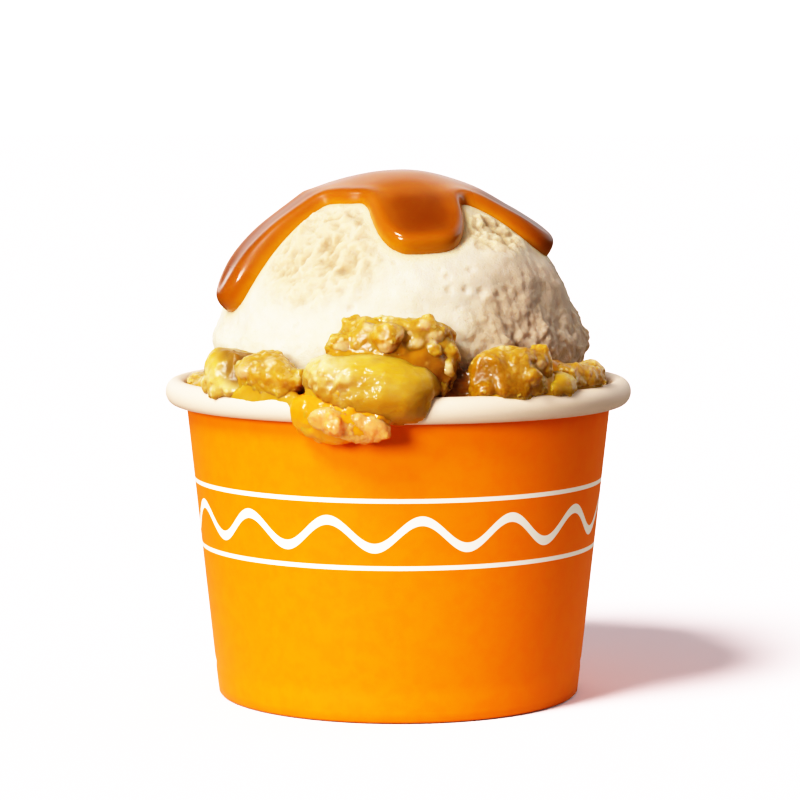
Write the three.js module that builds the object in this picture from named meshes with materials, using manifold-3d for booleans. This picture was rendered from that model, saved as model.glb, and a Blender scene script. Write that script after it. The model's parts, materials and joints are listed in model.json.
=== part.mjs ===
// A caramel apple cobbler in its paper dessert cup: baked apple and crumble in caramel, heaped over the
// rolled lip of the cup, with one large scoop of vanilla ice cream and thick caramel sauce run over it.
// Millimetres, +Z up. The origin is the middle of the cup's foot, and the photograph's side faces -Y.

import * as THREE from "three";
import { mergeVertices } from "three/addons/utils/BufferGeometryUtils.js";
import { ImprovedNoise } from "three/addons/math/ImprovedNoise.js";
import Module from "manifold-3d";

const wasm = await Module();
wasm.setup();

// Cup: the common 8 oz paper dessert cup.
const LIP_RADIUS = 47.5; // outside of the rolled lip
const LIP_WIDTH = 4.5;
const LIP_BOTTOM = 58.6; // where the lip leaves the wall
const ROLL_BOTTOM = 59.2; // the lowest point of the roll
const CUP_HEIGHT = 64.4;
const WALL_TOP_RADIUS = 43.2; // outside of the wall, just under the lip
const FOOT_RADIUS = 36.8;
const BOARD = 0.7; // paperboard of the wall
const FOOT_BOARD = 1.5; // wall folded in round the foot
const FOOT_HEIGHT = 6.5; // how far the base disc is raised
const BASE_BOARD = 0.8;
const SEAM_AZIMUTH = 150; // degrees from the front, at the back of the cup
const SEAM_WIDTH = 10; // degrees of the wall where the board laps over itself
const SEAM_STEP = 0.4;
const CUP_SIDES = 48;

// Scoop: a ball of ice cream pressed into the cobbler, so that its underside is flattened.
const SCOOP_RADIUS = 37.3;
const SCOOP_CENTRE = 67.5;
const SCOOP_UNDERSIDE = 16; // depth of the flattened half below the widest line
const SKIRT_FLARE = 2.3; // the torn skirt that a scoop leaves round its widest line
const CRAG = 1.0; // depth of the torn relief
const LEDGE = 1.3; // the smooth layer that starts below the sauce, on the right

// Sauce: a cap of thick caramel with runs down the scoop.
const SAUCE_THICKNESS = 2.1;
const SAUCE_REACH = 27.5; // degrees from the top of the scoop, between the runs
const SAUCE_BEAD = 3.3; // thickness of a run at its end
const LONGEST_RUN = 72; // degrees from the top of the scoop to the end of the longest run

// Filling and what lies on it.
const FILLING_TOP = 60.4;
const CRUMB = 2.6; // radius of a crumb of the crumble topping

const GAP = 0.35; // between pieces that touch

const radians = THREE.MathUtils.degToRad;
const smooth = THREE.MathUtils.smoothstep;
const perlin = new ImprovedNoise();
const noise = (x, y, z, wavelength) => perlin.noise(x / wavelength, y / wavelength, z / wavelength);

// A seeded draw between low and high, the same on every run.
function drawFrom(seed) {
  let state = seed;
  return (low, high) => {
    state = (state * 1664525 + 1013904223) % 4294967296;
    return low + ((high - low) * state) / 4294967296;
  };
}

// The point at an azimuth in degrees from the front, positive to the right.
function around(azimuth, radius, height) {
  const turn = radians(azimuth);
  return new THREE.Vector3(radius * Math.sin(turn), -radius * Math.cos(turn), height);
}

const azimuthOf = (p) => THREE.MathUtils.radToDeg(Math.atan2(p.x, -p.y));

// The turn from one azimuth to another, between -180 and 180 degrees.
const turnBetween = (a, b) => THREE.MathUtils.euclideanModulo(a - b + 180, 360) - 180;

// Moves each vertex of a geometry to where place(vertex) says.
function shaped(geometry, place) {
  const at = geometry.getAttribute("position");
  const p = new THREE.Vector3();
  for (let i = 0; i < at.count; i++) {
    const moved = place(p.fromBufferAttribute(at, i).clone());
    at.setXYZ(i, moved.x, moved.y, moved.z);
  }
  return geometry;
}

// A closed geometry as a solid, and a solid as a geometry.
function solidOf(geometry) {
  const bare = geometry.clone();
  bare.deleteAttribute("normal");
  bare.deleteAttribute("uv");
  const merged = mergeVertices(bare, 1e-4);
  const mesh = new wasm.Mesh({
    numProp: 3,
    vertProperties: merged.getAttribute("position").array,
    triVerts: new Uint32Array(merged.index.array),
  });
  return new wasm.Manifold(mesh);
}

function geometryOf(solid) {
  const mesh = solid.getMesh();
  const geometry = new THREE.BufferGeometry();
  geometry.setAttribute("position", new THREE.BufferAttribute(mesh.vertProperties, 3));
  geometry.setIndex(new THREE.BufferAttribute(mesh.triVerts, 1));
  geometry.computeVertexNormals();
  return geometry;
}

// The largest body of a solid, without the loose scraps that a cut can leave.
function largest(solid) {
  const bodies = solid.decompose().sort((a, b) => b.volume() - a.volume());
  return bodies[0];
}

const without = (solid, others) => others.reduce((left, other) => left.subtract(other), solid);

// A profile of [radius, height] pairs turned about the upright axis.
function turned(profile, segments) {
  const points = profile.map(([radius, height]) => new THREE.Vector2(radius, height));
  return new THREE.LatheGeometry(points, segments).rotateX(Math.PI / 2);
}

// Cup.

const wallRadius = (height) =>
  THREE.MathUtils.lerp(FOOT_RADIUS, WALL_TOP_RADIUS, height / LIP_BOTTOM);

// The rolled lip's section from where it leaves the wall, out, over the top and back in.
function lipArc(grow, steps) {
  const across = LIP_WIDTH / 2;
  const up = (CUP_HEIGHT - ROLL_BOTTOM) / 2;
  return Array.from({ length: steps + 1 }, (_, i) => {
    const turn = radians(-110 + (270 * i) / steps);
    return [
      LIP_RADIUS - across + (across + grow) * Math.cos(turn),
      ROLL_BOTTOM + up + (up + grow) * Math.sin(turn),
    ];
  });
}

function cupProfile(grow) {
  const innerTop = LIP_BOTTOM + 1.6;
  const inside = BOARD + grow;
  return [
    [FOOT_RADIUS - FOOT_BOARD - grow, -grow],
    [FOOT_RADIUS + grow, -grow],
    [wallRadius(LIP_BOTTOM) + grow, LIP_BOTTOM - grow],
    ...lipArc(grow, 7),
    [wallRadius(innerTop) - inside, innerTop - grow],
    [wallRadius(FOOT_HEIGHT) - inside, FOOT_HEIGHT + grow],
    [wallRadius(FOOT_HEIGHT) - FOOT_BOARD - grow, FOOT_HEIGHT + grow],
    [FOOT_RADIUS - FOOT_BOARD - grow, -grow],
  ];
}

// The wall's board laps over itself along one upright seam.
function withSeam(geometry) {
  return shaped(geometry, (p) => {
    const onOutside = Math.hypot(p.x, p.y) > wallRadius(p.z) - BOARD / 2;
    const onSeam = Math.abs(turnBetween(azimuthOf(p), SEAM_AZIMUTH)) < SEAM_WIDTH / 2;
    if (!onOutside || !onSeam || p.z > LIP_BOTTOM) return p;
    const wider = 1 + SEAM_STEP / Math.hypot(p.x, p.y);
    return new THREE.Vector3(p.x * wider, p.y * wider, p.z);
  });
}

const paperCup = () => withSeam(turned(cupProfile(0), CUP_SIDES));
const cupClearance = solidOf(turned(cupProfile(GAP), CUP_SIDES));

function cupBase() {
  const low = FOOT_HEIGHT + GAP;
  const radius = wallRadius(low) - BOARD - GAP;
  return turned([[0, low], [radius, low], [radius, low + BASE_BOARD], [0, low + BASE_BOARD]], CUP_SIDES);
}

// Sauce border: how far it reaches down the scoop at each azimuth, in degrees from the top.

const RUNS = [
  { azimuth: -69.5, halfWidth: 14, extra: 43.5, corner: 3.6 }, // long run down the left
  { azimuth: 11, halfWidth: 25, extra: 24.5, corner: 3 }, // broad tongue at the front
  { azimuth: 83, halfWidth: 24, extra: 22, corner: 3.6 }, // short run on the right
  { azimuth: 140, halfWidth: 15, extra: 34, corner: 3 },
  { azimuth: 186, halfWidth: 19, extra: 20, corner: 3 },
  { azimuth: 236, halfWidth: 13, extra: 38, corner: 3 },
];

function runsAt(azimuth) {
  return RUNS.reduce((most, run) => {
    const off = Math.abs(turnBetween(azimuth, run.azimuth)) / run.halfWidth;
    return Math.max(most, run.extra * Math.exp(-(off ** run.corner)));
  }, 0);
}

const sauceReach = (azimuth) => SAUCE_REACH + 4 * (1 - Math.cos(radians(azimuth))) + runsAt(azimuth);

// Scoop.

// The plain ball without its torn relief, along a direction from its centre.
function plainScoop(direction, grow) {
  const down = direction.z < 0 ? SCOOP_UNDERSIDE : SCOOP_RADIUS;
  return new THREE.Vector3(
    direction.x * (SCOOP_RADIUS + grow),
    direction.y * (SCOOP_RADIUS + grow),
    SCOOP_CENTRE + direction.z * (down + grow),
  );
}

const polarOf = (direction) =>
  THREE.MathUtils.radToDeg(Math.acos(THREE.MathUtils.clamp(direction.z, -1, 1)));

// How far the torn surface stands out of the plain ball. There is none under the sauce or beside it.
function tornRelief(direction) {
  const azimuth = azimuthOf(direction);
  const polar = polarOf(direction);
  const covered = Math.max(sauceReach(azimuth - 9), sauceReach(azimuth), sauceReach(azimuth + 9));
  const bare = smooth(polar, covered + 1, covered + 9);
  const p = direction.clone().multiplyScalar(SCOOP_RADIUS);
  const rightSide = 0.45 + 0.55 * smooth(direction.x, -0.2, 0.7);
  const crags = CRAG * rightSide * (noise(p.x, p.y, p.z, 7) + 0.6 * noise(p.x, p.y, p.z * 0.6, 3.6));
  const ledgeSpan = 1 - smooth(Math.abs(turnBetween(azimuth, 52)), 20, 36);
  const ledge = LEDGE * ledgeSpan * smooth(polar, 47, 51) * (1 - smooth(polar, 56, 74));
  const ragged = 0.55 + 0.9 * noise(p.x, p.y, 40, 5) + 0.5 * noise(p.x, p.y, 9, 2.7);
  const skirt = SKIRT_FLARE * Math.max(0, ragged) * Math.exp(-(((polar - 81) / 6) ** 2));
  return bare * (crags + ledge + skirt);
}

// Rings are close together where the scoop shows and far apart under the filling.
function scoopRing(share) {
  const shown = 0.84;
  if (share <= shown) return radians((104 * share) / shown);
  return radians(104 + (76 * (share - shown)) / (1 - shown));
}

function scoop(grow) {
  return shaped(new THREE.SphereGeometry(1, 56, 21), (p) => {
    const polar = scoopRing(Math.acos(THREE.MathUtils.clamp(p.y, -1, 1)) / Math.PI);
    const turn = Math.atan2(p.z, p.x);
    const direction = new THREE.Vector3(
      Math.sin(polar) * Math.cos(turn),
      -Math.sin(polar) * Math.sin(turn),
      Math.cos(polar),
    );
    return plainScoop(direction, grow + tornRelief(direction));
  });
}

// The sauce is a lens over the scoop: the upper half of a sphere becomes its outside, the lower half its
// inside, and the equator its border.
function sauceCap() {
  return shaped(new THREE.SphereGeometry(1, 80, 12), (p) => {
    const share = Math.acos(THREE.MathUtils.clamp(p.y, -1, 1)) / (Math.PI / 2);
    const outside = share <= 1.0001;
    const along = outside ? share : 2 - share;
    const turn = Math.atan2(p.z, p.x);
    const azimuth = 90 - THREE.MathUtils.radToDeg(turn);
    const reach = sauceReach(azimuth);
    const toBorder = 1 - (1 - along) ** 1.35;
    const polar = radians(reach * toBorder);
    const direction = around(azimuth, Math.sin(polar), Math.cos(polar));
    const inRun = smooth(runsAt(azimuth) * toBorder, 8, 30);
    const full = THREE.MathUtils.lerp(SAUCE_THICKNESS, SAUCE_BEAD, inRun * smooth(toBorder, 0.5, 0.9));
    const uneven = 1 + 0.14 * noise(direction.x * 30, direction.y * 30, 5, 9);
    const rounded = Math.sqrt(Math.max(0, 1 - toBorder ** 8));
    const lift = GAP * (1.8 + 1.4 * smooth(along, 0, 0.2) * (reach / LONGEST_RUN) ** 2);
    return plainScoop(direction, lift + (outside ? full * uneven * rounded : 0));
  });
}

// Pieces of the cobbler.

// A chunk: a ball squared off towards a box, bent like a slice, roughened, turned and put in place.
function chunk(piece, grow) {
  const { at, size, turn, tilt = 0, lean = 0, square = 0.75, bend = 0, taper = 0 } = piece;
  const { rough, grain = 7, sides } = piece;
  const [length, depth, rise] = size;
  const squared = (v) => Math.sign(v) * Math.abs(v) ** square;
  const pose = new THREE.Euler(radians(lean), radians(tilt), radians(turn), "ZYX");
  return shaped(new THREE.SphereGeometry(1, sides, Math.round(sides * 0.62)), (p) => {
    const rock = [(p.x * length) / 2 + at.x, (p.y * rise) / 2, (p.z * depth) / 2 + at.y];
    const uneven = 1 + rough * noise(...rock, grain);
    const fat = uneven * (1 + taper * p.x);
    const shape = new THREE.Vector3(
      squared(p.x) * (uneven * (length / 2) + grow),
      squared(-p.z) * (fat * (depth / 2) + grow),
      squared(p.y) * (fat * (rise / 2) + grow),
    );
    shape.y += bend * ((2 * shape.x) / length) ** 2;
    return shape.applyEuler(pose).add(at);
  });
}

const chunkSolid = (piece, grow) => solidOf(chunk(piece, grow));

// A crumb of the topping: a small rough ball.
function crumb(at, radius, draw) {
  const spin = new THREE.Euler(draw(0, 6), draw(0, 6), draw(0, 6));
  const stretch = new THREE.Vector3(draw(0.8, 1.25), draw(0.8, 1.2), draw(0.75, 1.1));
  const ball = new THREE.IcosahedronGeometry(radius);
  return solidOf(shaped(ball, (p) => p.multiply(stretch).applyEuler(spin).add(at)));
}

// A clump of crumble: a lumpy core, in front with crumbs fused on along its outer side.
function clump(piece, grow) {
  const shrink = piece.crumbs ? 0.86 : 1;
  const size = piece.size.map((length) => length * shrink);
  const core = chunkSolid({ ...piece, size, grain: CRUMB * 1.7 }, grow);
  if (!piece.crumbs) return core;
  const draw = drawFrom(piece.seed);
  const pose = new THREE.Euler(0, radians(piece.tilt), radians(piece.turn), "ZYX");
  const half = new THREE.Vector3(...piece.size).multiplyScalar(0.5);
  const golden = Math.PI * (3 - Math.sqrt(5));
  const places = Array.from({ length: piece.crumbs }, (_, i) => {
    const height = 0.9 - (1.5 * (i + 0.5)) / piece.crumbs;
    const turn = golden * i + draw(-0.3, 0.3);
    const flat = 0.84 * Math.sqrt(1 - height * height);
    const place = new THREE.Vector3(flat * Math.cos(turn), flat * Math.sin(turn), height * 0.8);
    return place.multiply(half).applyEuler(pose).add(piece.at);
  });
  const all = [...places, ...(piece.leg ?? [])];
  const crumbs = all.map((at) => crumb(at, draw(0.8, 1.2) * CRUMB + grow, draw));
  return crumbs.reduce((whole, one) => whole.add(one), core);
}

// Each piece faces out of the cup at its azimuth, so that its length runs along the rim.
const onRim = (azimuth, radius, height) => ({ at: around(azimuth, radius, height), turn: azimuth });

const FRONT = {
  caramel_overflow: {
    ...onRim(-15.5, 46.2, 60.5), size: [18.5, 8.4, 10.2], tilt: 4, square: 0.9, rough: 0.2, sides: 14,
  },
  apple_slice_front: {
    ...onRim(-7, 44.8, 66.0), size: [26, 13, 12.5], tilt: 7, bend: 1.8, taper: 0.16, square: 0.74,
    rough: 0.12, sides: 18,
  },
  crumble_overflow_front: {
    ...onRim(-11.8, 49.0, 59.7), size: [19, 6.4, 6.5], tilt: 8, rough: 0.4, sides: 12, seed: 31, crumbs: 4,
  },
  crumble_clump_front: {
    ...onRim(-1.6, 40.4, 74.8), size: [26, 11, 10.5], tilt: -1, bend: 1.5, rough: 0.35, sides: 12, seed: 5,
    crumbs: 6, leg: [around(13.4, 41.6, 72.4), around(12.9, 42.8, 69.3), around(12.2, 43.4, 66.8)],
  },
  apple_chunk_left: {
    ...onRim(-49, 42.0, 66.9), size: [12, 9.5, 10.5], tilt: -8, lean: -12, square: 0.62, rough: 0.3,
    sides: 12,
  },
  crumble_clump_left: {
    ...onRim(-33.8, 43.0, 66.6), size: [17.5, 10, 11.6], tilt: 10, rough: 0.4, sides: 12, seed: 12, crumbs: 2,
  },
  crumble_clump_right: {
    ...onRim(31.4, 42.6, 67.1), size: [20.5, 11, 13.4], tilt: 3, rough: 0.4, sides: 12, seed: 23, crumbs: 5,
  },
  apple_chunk_right: {
    ...onRim(42.2, 43.4, 64.9), size: [10.5, 8, 6.4], tilt: 4, rough: 0.25, sides: 10,
  },
  crumble_clump_far_right: {
    ...onRim(57.2, 42.4, 65.7), size: [16, 7.5, 7.4], tilt: 4, rough: 0.45, sides: 10, seed: 44,
  },
};

// Round the sides and the back, which the photograph doesn't show, apple and crumble go on by turns: low
// at the sides, where they don't reach above the lip, and heaped again behind the scoop.
function farSide() {
  const draw = drawFrom(9);
  const places = [84, 107, 130, 153, 177, 201, 225, 249, 274];
  return Object.fromEntries(
    places.map((azimuth, i) => {
      const low = smooth(Math.abs(Math.sin(radians(azimuth))), 0.72, 0.92);
      const lower = (heaped, sunk) => THREE.MathUtils.lerp(heaped, sunk, low);
      const size = [draw(14, 17), lower(draw(8.5, 10.5), 6.5), lower(draw(9.5, 11.5), draw(5, 6))];
      const place = onRim(azimuth + draw(-2, 2), lower(42.4, 39.6), lower(draw(66, 67.6), draw(61.8, 62.6)));
      const shared = { ...place, size, tilt: lower(draw(-12, 12), 0) };
      if (i % 2) return ["apple_chunk_back_" + (i + 1) / 2, { ...shared, lean: -8, rough: 0.3, sides: 10 }];
      return ["crumble_clump_back_" + (i / 2 + 1), { ...shared, rough: 0.45, sides: 12, seed: 60 + i }];
    }),
  );
}

// Crumble that has run over the lip at the back, as at the front.
const BACK_OVERFLOW = {
  crumble_overflow_back: {
    ...onRim(176, 47.4, 62.2), size: [18, 8, 9.5], tilt: -4, rough: 0.4, sides: 12, seed: 71,
  },
};

const scoopClearance = solidOf(scoop(GAP));

// Cuts each piece clear of the cup, the scoop and the pieces before it.
function fitted(pieces) {
  const clearances = [cupClearance, scoopClearance];
  const solids = {};
  for (const [name, piece] of Object.entries(pieces)) {
    const make = piece.seed ? clump : chunkSolid;
    solids[name] = largest(without(make(piece, 0), clearances));
    clearances.push(make(piece, GAP));
  }
  return { solids, clearances };
}

// The filling: baked apple and dough in caramel, from the base disc to just under the lip, lumpy on top.
function filling(clearances) {
  const low = FOOT_HEIGHT + GAP + BASE_BOARD + GAP;
  const inside = (height) => wallRadius(height) - BOARD - GAP;
  const rings = [40.5, 38.4, 35.6, 32, 15];
  const profile = [
    [0, low],
    [inside(low), low],
    [inside(FILLING_TOP - 2), FILLING_TOP - 2],
    ...rings.map((radius) => [radius, FILLING_TOP]),
    [0, FILLING_TOP],
  ];
  const lumpy = shaped(turned(profile, 44), (p) => {
    if (p.z < FILLING_TOP - 0.01) return p;
    const lumps = 1.9 * noise(p.x, p.y, 3, 5.5) + 1.1 * noise(p.x, p.y, 8, 3);
    const towardsLip = smooth(Math.hypot(p.x, p.y), 38, 40.5);
    return p.setZ(p.z + lumps * (1 - 0.5 * towardsLip));
  });
  return largest(without(solidOf(lumpy), clearances));
}

// The object.

const COLOURS = {
  paper_cup: [0xf07a16, 0.45],
  cup_base: [0xf3efe8, 0.6],
  cobbler_filling: [0xb9792a, 0.35],
  ice_cream_scoop: [0xf2ead2, 0.6],
  caramel_sauce: [0xb95e10, 0.12],
  caramel: [0xc9711a, 0.15],
  apple: [0xd9b44a, 0.25],
  crumble: [0xd8a24e, 0.45],
};

function piece(name, geometry) {
  const key = COLOURS[name] ? name : name.split("_")[0];
  const [color, roughness] = COLOURS[key];
  const mesh = new THREE.Mesh(
    geometry,
    new THREE.MeshStandardMaterial({ color, roughness, metalness: 0, flatShading: true }),
  );
  mesh.name = name;
  return mesh;
}

const { solids, clearances } = fitted({ ...FRONT, ...farSide(), ...BACK_OVERFLOW });

const cobbler = new THREE.Group();
cobbler.name = "caramel_apple_cobbler";
cobbler.add(
  piece("paper_cup", paperCup()),
  piece("cup_base", cupBase()),
  piece("cobbler_filling", geometryOf(filling(clearances))),
  piece("ice_cream_scoop", scoop(0)),
  piece("caramel_sauce", sauceCap()),
  ...Object.entries(solids).map(([name, solid]) => piece(name, geometryOf(solid))),
);

export default cobbler;
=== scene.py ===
# %% [markdown]
# # A caramel apple cobbler, dressed for the camera
#
# The cobbler is already built as plain solids: a paper cup, a filling, a scoop, a cap of sauce and the
# pieces of apple and crumble that lie round it. This lesson dresses each of them with the surface that
# the eye knows: torn ice cream, poured caramel, wet apple and lumpy crumble.
#
# The imported solids are loaded first. They stand at their real size, in metres, and they are the frame
# that every piece here is fitted to.

import json
import math
import random

import bpy
import numpy as np
from mathutils import Matrix, Vector, kdtree, noise


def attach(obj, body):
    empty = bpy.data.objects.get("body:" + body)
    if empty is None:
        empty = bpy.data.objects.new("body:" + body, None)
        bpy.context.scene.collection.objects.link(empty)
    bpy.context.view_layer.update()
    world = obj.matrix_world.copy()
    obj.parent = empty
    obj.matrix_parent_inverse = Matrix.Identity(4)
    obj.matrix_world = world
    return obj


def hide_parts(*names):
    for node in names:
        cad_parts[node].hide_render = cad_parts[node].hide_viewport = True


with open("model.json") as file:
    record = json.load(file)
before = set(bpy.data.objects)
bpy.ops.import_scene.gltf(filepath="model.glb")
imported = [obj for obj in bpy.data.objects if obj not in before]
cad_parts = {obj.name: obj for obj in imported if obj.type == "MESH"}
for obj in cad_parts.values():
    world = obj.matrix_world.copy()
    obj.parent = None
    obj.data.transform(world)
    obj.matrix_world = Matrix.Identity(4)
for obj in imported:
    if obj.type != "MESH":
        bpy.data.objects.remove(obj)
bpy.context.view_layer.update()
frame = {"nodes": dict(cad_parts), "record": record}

# %% [markdown]
# ## Working in millimetres
#
# Blender's unit here is the metre, but food and paper are thought of in millimetres. One constant turns
# one into the other. The azimuth of a point is measured in degrees from the front of the cup, where -Y
# is, and is positive to the right. The polar angle is measured from straight up.

# %% Millimetres, directions and soft steps
MM = 0.001


def smooth(value, low, high):
    """0 below low, 1 above high, and an even curve between them. It takes numbers and arrays."""
    share = np.clip((value - low) / (high - low), 0.0, 1.0)
    return share * share * (3 - 2 * share)


def around(azimuth, radius, height):
    turn = math.radians(azimuth)
    return Vector((radius * math.sin(turn), -radius * math.cos(turn), height))


def turn_between(a, b):
    return (a - b + 180) % 360 - 180


print("a point on the lip at the front:", around(0, 47.5, 64.4))

# %% [markdown]
# ## Pieces
#
# Two habits keep every piece tidy. Everything is deselected before a piece is made, because an operator
# acts on all that is selected. And where a soft piece keeps the form of its solid, it starts as a copy of
# it: the solid's triangles are loose, so the copy is merged first, and then remeshed into small even
# faces that can carry fine relief.

# %% Helpers that start a piece from its solid
SLOT_OF = {part["node"]: part["material_slot"] for part in frame["record"]["subparts"]}


def deselect():
    if bpy.context.object and bpy.context.object.mode != "OBJECT":
        bpy.ops.object.mode_set(mode="OBJECT")
    bpy.ops.object.select_all(action="DESELECT")


def pick(piece):
    deselect()
    piece.select_set(True)
    bpy.context.view_layer.objects.active = piece


def apply_modifier(piece, kind, **settings):
    pick(piece)
    modifier = piece.modifiers.new(kind.title(), kind)
    for key, value in settings.items():
        setattr(modifier, key, value)
    bpy.ops.object.modifier_apply(modifier=modifier.name)


def copy_of(node, name, voxel=None, ease=0):
    """A merged copy of a solid, remeshed to faces of voxel millimetres and eased by smoothing."""
    piece = bpy.data.objects.new(name, frame["nodes"][node].data.copy())
    bpy.context.scene.collection.objects.link(piece)
    piece.data.materials.clear()
    pick(piece)
    bpy.ops.object.mode_set(mode="EDIT")
    bpy.ops.mesh.select_all(action="SELECT")
    bpy.ops.mesh.remove_doubles(threshold=1e-6)
    bpy.ops.mesh.normals_make_consistent(inside=False)
    bpy.ops.object.mode_set(mode="OBJECT")
    if voxel:
        apply_modifier(piece, "REMESH", mode="VOXEL", voxel_size=voxel * MM, use_smooth_shade=True)
    if ease:
        apply_modifier(piece, "SMOOTH", factor=0.5, iterations=ease)
    return piece


def places_of(piece):
    """A piece's vertices in millimetres, as an array with a row for each."""
    flat = np.empty(len(piece.data.vertices) * 3)
    piece.data.vertices.foreach_get("co", flat)
    return flat.reshape(-1, 3) / MM


def normals_of(piece):
    flat = np.empty(len(piece.data.vertices) * 3)
    piece.data.vertex_normals.foreach_get("vector", flat)
    return flat.reshape(-1, 3)


def put(piece, places):
    piece.data.vertices.foreach_set("co", (np.asarray(places) * MM).ravel())
    piece.data.update()


def grow(piece, heights):
    """Moves each vertex out along its normal by its height in millimetres."""
    heights = np.broadcast_to(heights, (len(piece.data.vertices),))
    put(piece, places_of(piece) + normals_of(piece) * heights[:, None])


def remember(piece, name, values):
    """Stores one number per vertex, for the piece's material to read."""
    layer = piece.data.attributes.new(name, "FLOAT", "POINT")
    layer.data.foreach_set("value", np.asarray(values, dtype=np.float32))


def finish_piece(piece, material, slot, *nodes):
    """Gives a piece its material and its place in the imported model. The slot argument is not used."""
    if material:
        piece.data.materials.clear()
        piece.data.materials.append(material)
    pick(piece)
    bpy.ops.object.shade_smooth()
    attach(piece, "root")
    if nodes:
        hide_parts(*nodes)
    print(piece.name, "has", len(piece.data.polygons), "faces")


print("slots:", sorted(set(SLOT_OF.values())))

# %% [markdown]
# ## The camera
#
# The picture was taken from a little above the lip, with a long lens, so the cup hardly tapers by
# perspective. The numbers come from fitting the cup's outline: the camera stands 630 mm from the middle
# of the cup and looks down by 5.4 degrees.

# %% Camera
CAMERA_DISTANCE = 630.39
CAMERA_ELEVATION = math.radians(5.358)
LOOK_HEIGHT = 59.676
CAMERA_ASIDE = 0.357
LENS = 138.93
SENSOR_WIDTH = 36

bpy.ops.object.camera_add()
camera = bpy.context.object
camera.name = "camera"
camera.location = (
    Vector((
        CAMERA_ASIDE,
        -CAMERA_DISTANCE * math.cos(CAMERA_ELEVATION),
        LOOK_HEIGHT + CAMERA_DISTANCE * math.sin(CAMERA_ELEVATION),
    ))
    * MM
)
camera.rotation_euler = (math.pi / 2 - CAMERA_ELEVATION, 0, 0)
camera.data.lens = LENS
camera.data.sensor_width = SENSOR_WIDTH
camera.data.clip_start = 0.01
bpy.context.scene.camera = camera
print("camera at", tuple(round(v, 3) for v in camera.location))

# %% [markdown]
# ## Materials from one small function
#
# A material is a net of nodes. One function adds a node, sets its sockets and settings and links what
# leads into it, so each recipe reads from top to bottom. Colours are written the way a painter's tool
# shows them, as sRGB hex values, and one more function turns them into the linear light that Blender
# mixes in.

# %% Colour and node helpers


def linear(hex_value):
    parts = [int(hex_value[i : i + 2], 16) / 255 for i in (1, 3, 5)]
    return (*[c / 12.92 if c <= 0.04045 else ((c + 0.055) / 1.055) ** 2.4 for c in parts], 1.0)


def new_material(name):
    material = bpy.data.materials.new(name)
    material.use_nodes = True
    material.node_tree.nodes.clear()
    return material, material.node_tree


def add(tree, kind, *values, **more):
    """Adds a node with its settings and links.

    Values go to its sockets in order. A name in small letters is a setting, and stops fills a colour
    ramp. Any other name is a socket's, with _ for a space. A node stands for its own first output.
    """
    node = tree.nodes.new("ShaderNode" + kind)
    stops = more.pop("stops", [])
    for name, value in more.items():
        if name.islower():
            setattr(node, name, value)
    for _ in stops[2:]:
        node.color_ramp.elements.new(0.5)
    for element, (place, colour) in zip(node.color_ramp.elements if stops else [], stops):
        element.position, element.color = place, linear(colour)
    fed = list(zip([socket for socket in node.inputs if socket.enabled], values))
    sockets = {name.replace("_", " "): value for name, value in more.items() if not name.islower()}
    fed += [(node.inputs[name], value) for name, value in sockets.items()]
    for socket, value in fed:
        if isinstance(value, bpy.types.Node):
            value = [output for output in value.outputs if output.enabled][0]
        if isinstance(value, bpy.types.NodeSocket):
            tree.links.new(value, socket)
        else:
            socket.default_value = value
    return node


print("orange as linear light:", linear("#F28A1E")[:3])

# %% [markdown]
# Most recipes start alike, with the place on the piece in millimetres, so that every scale in them is a
# real size. Several of them then lay tints over a colour, each where the mesh remembers an area for it.

# %% Where a material reads from
SOFT = "SMOOTHSTEP"  # a Map Range that eases in and out


def position(tree):
    """Object coordinates in millimetres."""
    coordinates = add(tree, "TexCoord").outputs["Object"]
    return add(tree, "VectorMath", coordinates, 1 / MM, operation="SCALE")


def tinted(tree, colour, areas):
    """Lays tints over a colour. Each area is what the mesh remembers there, a share and a hex value."""
    for area, share, tint in areas:
        where = add(tree, "Attribute", attribute_name=area).outputs["Fac"]
        amount = add(tree, "Math", where, share, operation="MULTIPLY")
        colour = add(tree, "Mix", amount, colour, linear(tint), data_type="RGBA")
    return colour


print("one millimetre is", MM, "of Blender's units")

# %% [markdown]
# ## Light and floor
#
# The shadow on the floor tells where the main light is. It runs back and to the right, is about as long
# as the cobbler is tall, and its edge is soft: the light stands at the front left, nearly 50 degrees up,
# and is as wide as a softbox. The wall of the cup tells of a second one, because it is bright right
# up to the lip. That one stands beside the first and much lower. It would throw a long second shadow on
# the floor, so the floor is taken off its list with light linking, as a studio hides it with a black card.
# White surroundings fill the rest, a little darker overhead, where a studio has no wall, and brighter at
# the back right, where a white card lights up the far edge of the cup.

# %% Lights
KEY_AZIMUTH = -42
KEY_ELEVATION = 46.5
KEY_STRENGTH = 3.9
SIDE_AZIMUTH = -34
SIDE_ELEVATION = 15
SIDE_STRENGTH = 4.3
FLOOR_STRENGTH = 3.3
BOX_WIDTH = 20  # degrees, as seen from the cup


def softbox(name, azimuth, elevation, strength, width):
    """A far light from an azimuth and elevation in degrees, seen from the cup as wide as width degrees."""
    bpy.ops.object.light_add(type="SUN")
    light = bpy.context.object
    light.name = name
    light.data.energy = strength
    light.data.angle = math.radians(width)
    light.data.color = (1.0, 0.985, 0.955)
    towards = around(azimuth, math.cos(math.radians(elevation)), math.sin(math.radians(elevation)))
    light.rotation_euler = towards.to_track_quat("Z", "Y").to_euler()
    return light


softbox("key_light", KEY_AZIMUTH, KEY_ELEVATION, KEY_STRENGTH, BOX_WIDTH)
side_light = softbox("side_light", SIDE_AZIMUTH, SIDE_ELEVATION, SIDE_STRENGTH, BOX_WIDTH)
floor_light = softbox("floor_light", KEY_AZIMUTH, KEY_ELEVATION, FLOOR_STRENGTH, BOX_WIDTH)
print("key to side light:", round(KEY_STRENGTH / SIDE_STRENGTH, 2))

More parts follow.
